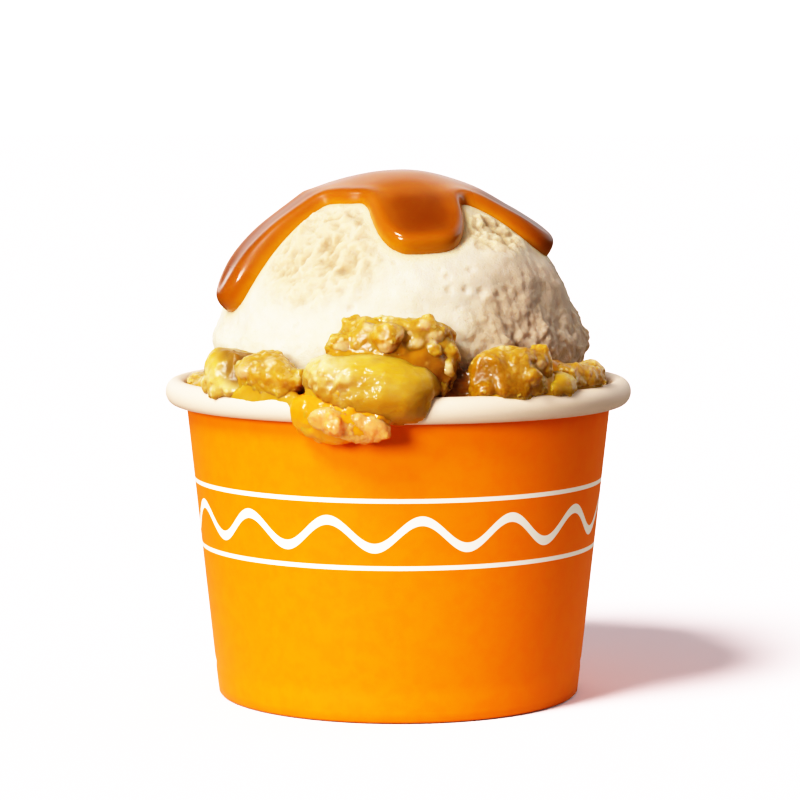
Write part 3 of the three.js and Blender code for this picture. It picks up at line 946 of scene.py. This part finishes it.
# %% Crumb relief
CRUMB_SPACING = 2.9
GRIT_SPACING = 1.4
WARP = 0.45  # how far noise bends the crumbs' outlines, in spacings
NUTS = [  # x, z and width in millimetres, as seen from the front
    (-10.6, 73.7, 3.4),
    (-2.1, 73.8, 3.7),
    (-5.4, 77.7, 2.6),
    (5.1, 77.9, 2.4),
    (0.6, 76.4, 2.0),
    (9.2, 69.8, 2.8),
    (6.8, 75.6, 3.4),
    (3.6, 74.6, 2.2),
    (-15.1, 61.6, 3.2),
    (-4.4, 59.9, 4.4),
    (-10.9, 59.0, 2.8),
    (-7.4, 61.2, 2.2),
    (27.4, 69.9, 2.2),
    (-29.8, 68.4, 2.8),
    (-24.5, 70.5, 2.2),
    (-14.2, 69.4, 1.9),
    (-16.1, 67.3, 2.3),
    (-12.6, 66.4, 1.7),
]


def crumbs_on(places, spacing, seed):
    """How central each place is in its crumb, from 0 to 1, and two random numbers of that crumb."""
    central, tones, proud = [], [], []
    for p in places:
        warped = Vector(p / spacing + seed)
        warped += WARP * noise.noise_vector(warped * 1.5)
        distances, points = noise.voronoi(warped)
        central.append(1 - min(1.0, distances[0] / max(1e-6, distances[1])))
        tones.append(noise.cell(points[0] * 7.3 + Vector((0.5, 0.5, 0.5))))
        proud.append(noise.cell(points[0] * 5.1 + Vector((9.5, 3.5, 6.5))))
    return smooth(np.array(central), 0, 0.75), np.array(tones), np.array(proud)


def nuts_on(places, ways):
    """1 on a flake of nut, 0 beside it, and how far in from its rim each place is."""
    ragged = 0.22 * layer(places, 1.6, 2, seed=3.3)
    on, inward = np.zeros(len(places)), np.zeros(len(places))
    for across, up, width in NUTS:
        off = np.hypot(places[:, 0] - across, 1.25 * (places[:, 2] - up)) / (width / 2) + ragged
        on = np.maximum(on, 1 - smooth(off, 0.6, 1.25))
        inward = np.maximum(inward, np.clip(1 - off, 0, 1))
    facing = smooth(-ways[:, 1], 0.05, 0.35) * (places[:, 1] < 0)
    return on * facing, inward * facing


def downward_shade(piece):
    """1 where a piece faces down and 0 where it faces up. It marks a painted shade: light that leaves there
    has gone deep gold.
    """
    return 1 - smooth(normals_of(piece)[:, 2], -0.35, 0.45)


def fields(places, spots):
    """1 in the middle of any of the round fields that spots gives as (centre, radius), 0 outside."""
    inside = np.zeros(len(places))
    for centre, size in spots:
        off = np.linalg.norm(places - np.array(centre), axis=1) / size
        inside = np.maximum(inside, 1 - smooth(off, 0.5, 1.0))
    return inside


print(len(NUTS), "flakes of nut")

# %% [markdown]
# ## Baked apple
#
# Apple that has been baked in syrup goes soft and clear: it is golden, a little green, and lets light
# through. Its fibres show as pale streaks along the slice, and the syrup makes it shine, but not like
# glass, because its skin is finely wrinkled. Where crumble has stuck to a piece, it is milky and rough.

# %% Baked apple material
baked_apple, tree = new_material("baked_apple_in_syrup")
vector = position(tree)
patches = add(tree, "TexNoise", vector, Scale=0.11, Detail=3.0, Roughness=0.55)
stretched = add(tree, "Mapping", vector, Scale=(0.3, 1.0, 1.0))
streaks = add(tree, "TexNoise", stretched, Scale=0.8, Detail=3.0, Roughness=0.6)
wrinkles = add(tree, "TexNoise", vector, Scale=0.75, Detail=2.0, Roughness=0.5)
flesh = add(
    tree,
    "ValToRGB",
    patches,
    stops=[(0.3, "#B48420"), (0.45, "#BC8E28"), (0.58, "#C2983A"), (0.72, "#C8A454")],
)
pale = add(tree, "MapRange", streaks, 0.45, 0.7, 0.0, 0.25, interpolation_type=SOFT)
flesh = add(tree, "Mix", pale, flesh, linear("#BE9A58"), data_type="RGBA")
flecks = add(tree, "TexVoronoi", vector, Scale=0.85)
chance = add(tree, "SeparateColor", flecks.outputs["Color"])
milky = add(tree, "MapRange", chance, 0.5, 0.8, 0.0, 0.7, interpolation_type=SOFT)
faded = add(tree, "MapRange", flecks, 0.2, 0.55, 1.0, 0.0, interpolation_type=SOFT)
stuck = add(tree, "Math", milky, faded, operation="MULTIPLY")
crust = add(tree, "Attribute", attribute_name="crusted").outputs["Fac"]
stuck = add(tree, "Math", stuck, crust, operation="MULTIPLY")
# The underside and front-right tints are painted shade.
APPLE_TINTS = (  # where, how much, and the colour that lies there
    ("crusted", 0.8, "#D4BC8C"),
    ("nut", 0.5, "#C49868"),
    ("underside_shade", 0.8, "#9E6608"),
    ("syrup_stain_and_shade", 0.4, "#7A560E"),
    ("browned", 0.9, "#76501A"),
    ("syrupy", 0.6, "#AC7010"),
)
flesh = tinted(tree, flesh, APPLE_TINTS)
flesh = add(tree, "Mix", stuck, flesh, linear("#DCC08E"), data_type="RGBA")
fruit = add(
    tree,
    "BsdfPrincipled",
    Base_Color=flesh,
    Roughness=0.38,
    IOR=1.4,
    Specular_IOR_Level=0.07,
    Subsurface_Weight=0.9,
    Subsurface_Radius=(1.0, 0.7, 0.22),
    Subsurface_Scale=6.0 * MM,
    Coat_Weight=0.5,
    Coat_Roughness=0.08,
    Normal=add(tree, "Bump", Height=streaks, Distance=0.5 * MM, Strength=0.4),
    Coat_Normal=add(tree, "Bump", Height=wrinkles, Distance=0.5 * MM, Strength=0.7),
)
add(tree, "OutputMaterial", fruit)
print("baked apple:", len(tree.nodes), "nodes")

# %% [markdown]
# Each piece of apple is a copy of its solid, remeshed, eased, grown a little so that it touches its
# neighbours, and given soft creases. The left chunk is hollow and browned on top, and rough on its outer
# side. Crumble has stuck to the thin end of the slice, and syrup stands where it meets the others.
# Their undersides and the pieces at the front right get a painted shade.

# %% Apple pieces
SHADED_FRONT_RIGHT = [  # centres and radii of the places at the front right that get a painted shade
    ((13.0, -40.5, 66), 6.0),
    ((31.0, -32.0, 63), 6.0),
    ((30.0, -26.0, 71), 5.5),
    ((25.0, -38.5, 69.5), 6.5),
]
HOLLOWS = [((-30.0, -30.0, 74.0), 8.0), ((-31.0, -33.5, 69.8), 5.5)]  # the left chunk's browned hollow
CRUSTED = [((-17, -47, 66.5), 12.0), ((-37, -30, 65), 6.5), ((-33, -34, 63), 6.5)]
SYRUPY = [((4.5, -44, 73.5), 6.0), ((7.5, -42, 70), 5.0), ((-2.5, -51, 59.5), 7.5), ((5, -48, 61), 6.0)]


def apple_piece(node, seed):
    piece = copy_of(node, node.replace("apple", "baked_apple"), voxel=0.5, ease=4)
    places, ways = places_of(piece), normals_of(piece)
    creases = crests(places, 7, 2, (0.6, 1, 1), seed=4.4)
    height = 0.3 + 0.4 * layer(places, 6, 3, seed=8.8) - 0.2 * smooth(creases, 0.55, 0.95)
    ragged = 0.35 + 0.65 * smooth(layer(places, 3.5, 3, seed=seed), -0.35, 0.25)
    crusted = fields(places, CRUSTED) * ragged
    central, tones, proud = crumbs_on(places, CRUMB_SPACING, seed)
    hollow = fields(places, HOLLOWS)
    nut, inward = nuts_on(places, ways)
    grit, _, grit_proud = crumbs_on(places, GRIT_SPACING, seed + 3)
    height += crusted * (0.1 + 0.6 * proud * central + 0.5 * grit_proud * grit) + 0.3 * inward
    grow(piece, height - 1.4 * hollow)
    apply_modifier(piece, "SMOOTH", factor=0.5, iterations=1)
    brown_edge = 0.45 * smooth(layer(places, 6, 2, seed=5.1), 0.1, 0.5) * (1 - crusted)
    # Faces that turn down, and the places at the front right, get a painted shade.
    remember(piece, "underside_shade", downward_shade(piece))
    remember(piece, "syrup_stain_and_shade", fields(places, SHADED_FRONT_RIGHT))
    remember(piece, "browned", np.clip(hollow + brown_edge, 0, 1))
    remember(piece, "crusted", crusted * (0.7 + 0.3 * tones))
    remember(piece, "nut", nut)
    remember(piece, "syrupy", fields(places, SYRUPY))
    finish_piece(piece, baked_apple, SLOT_OF[node], node)
    return piece


apple_nodes = sorted(node for node in frame["nodes"] if node.startswith("apple"))
apples = [apple_piece(node, 20.0 + 3 * i) for i, node in enumerate(apple_nodes)]
print(len(apples), "pieces of apple")

# %% [markdown]
# ## Crumble
#
# Each clump is a copy of its solid with the crumbs raised on it. Where syrup has drowned the crumbs, the
# surface is smooth and deep amber, like jelly. Between the front clump's leg and its neighbour a gap
# stays open, and light gets lost in it.

# %% Crumble pieces
JELLY = [
    ((16.5, -42.0, 67.0), 7.0),
    ((22.0, -41.5, 63.8), 5.0),
    ((1.5, -45.5, 70.5), 5.0),
    ((-20, -48, 60.5), 5.0),
]
GAP = [((12.2, -43.5, 65.5), 3.5), ((12.6, -42.5, 69.5), 3.0)]
GLOW = [((-9, -51, 57.5), 12.0)]  # where the orange wall behind lights the overflow


def crumble_piece(node, seed):
    piece = copy_of(node, node.replace("crumble", "baked_crumble"), voxel=0.36, ease=7)
    places, ways = places_of(piece), normals_of(piece)
    central, tones, proud = crumbs_on(places, CRUMB_SPACING, seed)
    grit, grit_tones, grit_proud = crumbs_on(places, GRIT_SPACING, seed + 3)
    jelly = fields(places, JELLY)
    nut, inward = nuts_on(places, ways)
    height = (0.08 + 0.32 * proud) * central + (0.06 + 0.3 * grit_proud) * grit
    height = height * (1 - jelly) * (1 - nut) + 0.3 * jelly + 0.4 * layer(places, 5, 3, seed=seed)
    grow(piece, height + 0.2 * nut + 0.3 * inward - 1.4 * fields(places, GAP))
    apply_modifier(piece, "SMOOTH", factor=0.5, iterations=1)
    # Faces that turn down, and the places at the front right, get a painted shade.
    remember(piece, "underside_shade", downward_shade(piece))
    remember(piece, "syrup_stain_and_shade", fields(places, SHADED_FRONT_RIGHT))
    remember(piece, "tone", 0.5 * tones + 0.5 * grit_tones)
    covered = (1 - central) * 0.5 + 0.75 * (1 - smooth(proud, 0.1, 0.55))
    remember(piece, "drowned", np.clip(covered * (1 - nut), 0, 1))
    remember(piece, "jelly", jelly)
    remember(piece, "nut", nut)
    remember(piece, "glow", fields(places, GLOW))
    finish_piece(piece, crumble, SLOT_OF[node], node)
    return piece


# %% [markdown]
# The crumbs' colours run from amber to straw. What lies between them is syrup, and the pale flakes are
# bits of nut. The glaze over all of it is a clear coat that follows the crumbs only loosely, and the
# crumbs' own grain is a little over a millimetre.
# Their undersides and the clumps at the front right get a painted shade.

# %% Glazed crumble material
crumble, tree = new_material("glazed_crumble")
vector = position(tree)
flour = add(tree, "TexNoise", vector, Scale=1.3, Detail=4.0, Roughness=0.7)
glaze = add(tree, "TexNoise", vector, Scale=1.0, Detail=2.0, Roughness=0.5)
damp = add(tree, "TexNoise", vector, Scale=0.22, Detail=3.0, Roughness=0.6)
crumb_colour = add(
    tree,
    "ValToRGB",
    add(tree, "Attribute", attribute_name="tone").outputs["Fac"],
    stops=[(0.0, "#A4792C"), (0.3, "#B48838"), (0.6, "#C0984E"), (1.0, "#DABA88")],
)
browner = add(tree, "MapRange", flour, 0.45, 0.75, 0.0, 0.2, interpolation_type=SOFT)
crumb_colour = add(tree, "Mix", browner, crumb_colour, linear("#946420"), data_type="RGBA")
golden = add(tree, "MapRange", damp, 0.42, 0.62, 0.0, 0.5, interpolation_type=SOFT)
crumb_colour = add(tree, "Mix", golden, crumb_colour, linear("#B0801E"), data_type="RGBA")
flecks = add(tree, "TexVoronoi", vector, Scale=0.85)
chance = add(tree, "SeparateColor", flecks.outputs["Color"])
milky = add(tree, "MapRange", chance, 0.55, 0.8, 0.0, 0.8, interpolation_type=SOFT)
faded = add(tree, "MapRange", flecks, 0.2, 0.55, 1.0, 0.0, interpolation_type=SOFT)
milky = add(tree, "Math", milky, faded, operation="MULTIPLY")
crumb_colour = add(tree, "Mix", milky, crumb_colour, linear("#E4C696"), data_type="RGBA")
# The underside and front-right tints are painted shade, and the glow tint is painted light from the orange
# wall.
CRUMBLE_TINTS = (  # where, how much, and the colour that lies there
    ("drowned", 0.5, "#B07E24"),
    ("underside_shade", 0.6, "#AE700A"),
    ("syrup_stain_and_shade", 0.5, "#82580E"),
    ("jelly", 0.9, "#8C5A04"),
    ("nut", 0.6, "#D6AE82"),
    ("glow", 0.8, "#EE9250"),
)
crumb_colour = tinted(tree, crumb_colour, CRUMBLE_TINTS)
baked = add(
    tree,
    "BsdfPrincipled",
    Base_Color=crumb_colour,
    Roughness=0.42,
    Specular_IOR_Level=0.07,
    Subsurface_Weight=0.9,
    Subsurface_Radius=(1.0, 0.68, 0.3),
    Subsurface_Scale=5.0 * MM,
    Coat_Weight=0.55,
    Coat_Roughness=0.07,
    Normal=add(tree, "Bump", Height=flecks, Distance=0.5 * MM, Strength=0.5, invert=True),
    Coat_Normal=add(tree, "Bump", Height=glaze, Distance=0.4 * MM, Strength=0.7),
)
add(tree, "OutputMaterial", baked)

crumble_nodes = sorted(node for node in frame["nodes"] if node.startswith("crumble"))
clumps = [crumble_piece(node, 11.0 + 5 * i) for i, node in enumerate(crumble_nodes)]

# %% [markdown]
# ## Syrup between the pieces
#
# What holds the heap together is the cobbler's own syrup. It fills the creases between the pieces and
# lies over the lip. A liquid's surface is smooth and bridges a crease, so it is made like this: all the
# pieces' solids are joined, with round beads where syrup has run on to the lip or stands in a hollow, and
# remeshed into one skin. That skin is smoothed until it has sunk into the pieces and risen in the
# creases. What still shows of it is what real syrup would cover.

# %% Binding syrup
LIP_BEADS = [  # from and to azimuth, radius, height and size of the beads that have run on to the lip
    (-54, -24, 45.1, 62.9, 2.3),
    (-30, -14, 46.0, 62.8, 2.5),
    (20, 46, 44.9, 63.0, 1.9),
    (50, 68, 44.6, 62.8, 1.5),
]
POOLS = [  # azimuth, radius, height, size and depth of colour of the syrup that stands in hollows
    (-14.5, 43.6, 71.6, 2.0, 0.4),
    (-11, 43.4, 72.0, 2.0, 0.4),
    (-7, 43.2, 72.2, 2.0, 0.4),
    (-3, 43.2, 72.0, 2.0, 0.45),
    (2, 43.4, 71.4, 2.4, 0.6),
    (5.5, 43.8, 71.0, 2.7, 0.7),
    (9, 43.6, 69.8, 2.6, 0.75),
    # The next four pools stand in the gap at the front, and their dark colour is painted shade.
    (15, 39.4, 71.0, 2.2, 0.9),
    (15.5, 40.4, 67.5, 2.6, 0.9),
    (16, 41.2, 64.0, 2.8, 0.9),
    (13, 41.0, 62.5, 2.4, 0.9),
    # These two lie under the skirt on the right, and their dark colour is painted shade.
    (48, 39.0, 68.4, 2.5, 0.6),
    (53, 38.8, 68.2, 2.3, 0.55),
]

HEAP = [node for node in sorted(frame["nodes"]) if node.startswith(("apple", "crumble", "caramel_overflow"))]
drafts = [copy_of(node, "draft") for node in HEAP]
drops = [(*around(azimuth, radius, height), size) for azimuth, radius, height, size, _ in POOLS]
for start, end, radius, height, size in LIP_BEADS:
    for step in np.arange(start, end + 1, 2.0):
        taper = min(1.0, 0.55 + 0.08 * min(step - start, end - step))
        drops.append((*around(step, radius, height), size * taper * (1 + 0.12 * math.sin(step * 0.31))))
for across, deep, up, size in drops:
    deselect()
    where = Vector((across, deep, up)) * MM
    bpy.ops.mesh.primitive_ico_sphere_add(subdivisions=2, radius=size * MM, location=where)
    drafts.append(bpy.context.object)
deselect()
for draft in drafts:
    draft.select_set(True)
bpy.context.view_layer.objects.active = drafts[0]
bpy.ops.object.join()
bpy.ops.object.transform_apply(location=True, rotation=True, scale=True)
syrup_skin = bpy.context.object
syrup_skin.name = "binding_syrup"
print("syrup starts from", len(drafts), "drafts")

# %% [markdown]
# How far the skin has risen is the syrup's depth, and that decides its colour. Fine crumbs float in it,
# so it gets a low crumb relief of its own.
# The pools in the gap at the front and under the skirt on the right are made dark as painted shade.

# %% Smoothed skin
apply_modifier(syrup_skin, "REMESH", mode="VOXEL", voxel_size=0.6 * MM, use_smooth_shade=True)
before, outward = places_of(syrup_skin), normals_of(syrup_skin)
apply_modifier(syrup_skin, "SMOOTH", factor=0.6, iterations=20)
risen = ((places_of(syrup_skin) - before) * outward).sum(axis=1)
central, tones, proud = crumbs_on(before, CRUMB_SPACING, 90.0)
floating = smooth(proud, 0.45, 0.8) * central
sunk = 2.2 * fields(before, HOLLOWS) + 1.8 * fields(before, GAP)
grow(syrup_skin, -0.2 + 0.3 * layer(before, 5, 2, seed=12.5) + 0.5 * floating - sunk)
thickness_and_painted_light = 0.15 + 0.65 * smooth(risen, -0.3, 1.4)
# A pool sets its own depth of colour; in the gap and under the skirt that is painted shade.
for azimuth, radius, height, size, depth in POOLS:
    off = np.linalg.norm(before - np.array(around(azimuth, radius, height)), axis=1) / size
    near = 1 - smooth(off, 1.1, 1.9)
    thickness_and_painted_light = thickness_and_painted_light * (1 - near) + depth * near
remember(syrup_skin, "thickness_and_painted_light", thickness_and_painted_light * (1 - 0.5 * floating))
remember(syrup_skin, "floating", floating * tones)
remember(syrup_skin, "glow", fields(before, GLOW))
print("syrup has risen up to", round(float(risen.max()), 2), "mm")

# %% [markdown]
# Cobbler syrup is thinner and clearer than the caramel on top: gold where it is a film, orange-brown in a
# deep crease.

# %% Syrup material
cobbler_syrup, tree = new_material("cobbler_syrup")
vector = position(tree)
cloudy = add(tree, "TexNoise", vector, Scale=0.25, Detail=3.0, Roughness=0.55)
rippled = add(tree, "TexNoise", vector, Scale=0.6, Detail=1.5, Roughness=0.5)
uneven = add(tree, "MapRange", cloudy, 0.0, 1.0, -0.25, 0.25)
thick = add(tree, "Attribute", attribute_name="thickness_and_painted_light").outputs["Fac"]
deep = add(tree, "Math", thick, uneven, operation="ADD")
gold = add(
    tree,
    "ValToRGB",
    deep,
    stops=[(0.0, "#BE8A30"), (0.3, "#B47A1A"), (0.6, "#A0660E"), (0.8, "#86500A"), (1.0, "#563008")],
)
gold = tinted(tree, gold, (("floating", 1.0, "#C8A060"), ("glow", 1.0, "#E8860E")))
clear = add(
    tree,
    "BsdfPrincipled",
    Base_Color=gold,
    Roughness=0.3,
    IOR=1.45,
    Specular_IOR_Level=0.07,
    Subsurface_Weight=0.6,
    Subsurface_Radius=(1.0, 0.45, 0.08),
    Subsurface_Scale=3.0 * MM,
    Coat_Weight=0.6,
    Coat_Roughness=0.07,
    Coat_Normal=add(tree, "Bump", Height=rippled, Distance=0.6 * MM, Strength=0.7),
)
add(tree, "OutputMaterial", clear)
finish_piece(syrup_skin, cobbler_syrup, "caramel_sauce")

# %% [markdown]
# At the front a tongue of syrup has run over the lip, under the crumble that hangs there. Light comes
# through it from the orange wall, so it is the most orange of all.

# %% Tongue over the lip
tongue = copy_of("caramel_overflow", "syrup_over_lip", voxel=0.45, ease=8)
places = places_of(tongue)
central, tones, proud = crumbs_on(places, CRUMB_SPACING, 95.0)
floating = smooth(proud, 0.4, 0.8) * central
grow(tongue, -0.1 + 0.35 * layer(places, 6, 2, seed=6.6) + 0.4 * floating)
remember(tongue, "thickness_and_painted_light", 0.3 + 0.3 * smooth(-places[:, 2], -64, -57) - 0.2 * floating)
remember(tongue, "floating", 0.7 * floating * tones)
remember(tongue, "glow", 0.7 + 0.3 * smooth(-places[:, 2], -61, -57))
finish_piece(tongue, cobbler_syrup, "caramel_sauce", "caramel_overflow")

# %% [markdown]
# ## The filling in the cup
#
# The filling is dough and fruit under the same syrup, and only its top shows, between the pieces. It is
# dark there, because little light gets down to it.

# %% Filling
syrupy_dough, tree = new_material("cobbler_filling_in_syrup")
vector = position(tree)
bits = add(tree, "TexVoronoi", vector, Scale=0.28)
dough = add(tree, "TexNoise", vector, Scale=0.5, Detail=4.0, Roughness=0.65)
mottled = add(tree, "Math", add(tree, "Math", dough, 0.6, operation="MULTIPLY"), bits, operation="ADD")
wet_dough = add(
    tree,
    "BsdfPrincipled",
    Base_Color=add(tree, "ValToRGB", mottled, stops=[(0.25, "#B8862E"), (0.5, "#A06A1C"), (0.8, "#7A4A12")]),
    Roughness=0.35,
    Specular_IOR_Level=0.25,
    Subsurface_Weight=0.3,
    Subsurface_Radius=(1.0, 0.5, 0.12),
    Subsurface_Scale=2.0 * MM,
    Coat_Weight=0.8,
    Coat_Roughness=0.08,
    Normal=add(tree, "Bump", Height=dough, Distance=0.8 * MM, Strength=0.6),
)
add(tree, "OutputMaterial", wet_dough)

filling = copy_of("cobbler_filling", "cobbler_in_cup", voxel=0.9, ease=1)
places = places_of(filling)
top = smooth(places[:, 2], 57.5, 59)
grow(filling, top * (0.3 + 0.9 * layer(places, 4.5, 3, seed=2.9)))
finish_piece(filling, syrupy_dough, "cobbler_filling", "cobbler_filling")

# %% [markdown]
# ## Loose crumbs
#
# What makes a crumble look like crumble is its small parts: grains and chips of about a millimetre,
# which catch the light on their edges. A chip starts as a small box, whose corners are moved at random
# and bevelled. Five such chips are enough, because each one that is placed gets its own size and turn.
# All of them are joined to one mesh, and each lies on the clump that it belongs to, half sunk in.

# %% Chips
CHIP_KINDS = 5

random.seed(41)
chips = []
for kind in range(CHIP_KINDS):
    deselect()
    bpy.ops.mesh.primitive_cube_add(size=2)
    chip = bpy.context.object
    bpy.ops.object.mode_set(mode="EDIT")
    bpy.ops.mesh.select_all(action="SELECT")
    bpy.ops.transform.resize(value=(1.0, 0.62 + 0.08 * kind, 0.42 + 0.05 * kind))
    bpy.ops.transform.vertex_random(offset=0.3, seed=kind + 3)
    bpy.ops.mesh.bevel(offset=0.42, segments=1, affect="EDGES")
    bpy.ops.object.mode_set(mode="OBJECT")
    corners = np.array([v.co for v in chip.data.vertices])
    chips.append((corners, [list(face.vertices) for face in chip.data.polygons]))
    bpy.data.objects.remove(chip)
print("chips have", [len(faces) for _, faces in chips], "faces")

# %% [markdown]
# Spots are drawn from the clumps' own surfaces, where they face outwards or up.

# %% Spots for the crumbs
CRUMB_SIZES = (0.6, 1.15)
CRUMB_TONES = (0.35, 0.75)
CRUMB_SUNK = 0.2  # the share of its size that a crumb is sunk in
FACES_PER_CRUMB = 1200


def open_places(piece):
    """The points of a piece that face outwards or up, and the ways they face."""
    points, ways = places_of(piece), normals_of(piece)
    outward = points * (1, 1, 0)
    outward /= np.linalg.norm(outward, axis=1)[:, None]
    able = ((ways * outward).sum(axis=1) > 0.05) & (ways[:, 2] > -0.1) & (fields(points, GLOW) < 0.1)
    points, ways = points[able], ways[able]
    order = np.lexsort(np.round(points, 2).T)  # a remesh lists its points in no fixed order
    return points[order], ways[order]


spots = []
for clump in clumps:
    points, ways = open_places(clump)
    wanted = min(len(points), max(5, len(points) // FACES_PER_CRUMB))
    for index in random.sample(range(len(points)), wanted):
        size = random.uniform(*CRUMB_SIZES)
        place = points[index] - CRUMB_SUNK * size * ways[index]
        spots.append((place, ways[index], size, random.uniform(*CRUMB_TONES)))
print(len(spots), "crumbs")

# %% [markdown]
# One mesh takes all the crumbs: each gets a chip's corners, scaled, turned to stand on its spot and moved
# there, and one tone for the whole of it. They are too small for light to wander about in them, so their
# material is the crumble's own with a short way for the light.

# %% Crumb mesh
CRUMB_DROWNED = 0.4
CRUMB_LIGHT_WAY = 0.4  # millimetres

corners, faces, tones = [], [], []
for place, out, size, tone in spots:
    shape, loops = random.choice(chips)
    turn = Vector(out).to_track_quat("Z", "Y").to_matrix()
    turn = turn @ Matrix.Rotation(random.uniform(0, 2 * math.pi), 3, "Z")
    turn = turn @ Matrix.Rotation(random.uniform(-0.5, 0.5), 3, "X")
    scaled = shape * size / 2 * np.array([1, random.uniform(0.8, 1.1), random.uniform(0.8, 1.2)])
    faces += [[len(tones) + i for i in loop] for loop in loops]
    corners.append(scaled @ np.array(turn.transposed()) + np.array(place))
    tones += [tone] * len(shape)
mesh = bpy.data.meshes.new("loose_crumbs")
mesh.from_pydata((np.concatenate(corners) * MM).tolist(), [], faces)
loose = bpy.data.objects.new("loose_crumbs", mesh)
bpy.context.scene.collection.objects.link(loose)
pick(loose)
bpy.ops.object.mode_set(mode="EDIT")
bpy.ops.mesh.select_all(action="SELECT")
bpy.ops.mesh.normals_make_consistent(inside=False)
bpy.ops.object.mode_set(mode="OBJECT")
remember(loose, "tone", tones)
remember(loose, "drowned", np.full(len(tones), CRUMB_DROWNED))
dry_crumb = crumble.copy()
dry_crumb.name = "dry_crumb"
light_way = dry_crumb.node_tree.nodes["Principled BSDF"].inputs["Subsurface Scale"]
light_way.default_value = CRUMB_LIGHT_WAY * MM
finish_piece(loose, dry_crumb, "glazed_crumble")
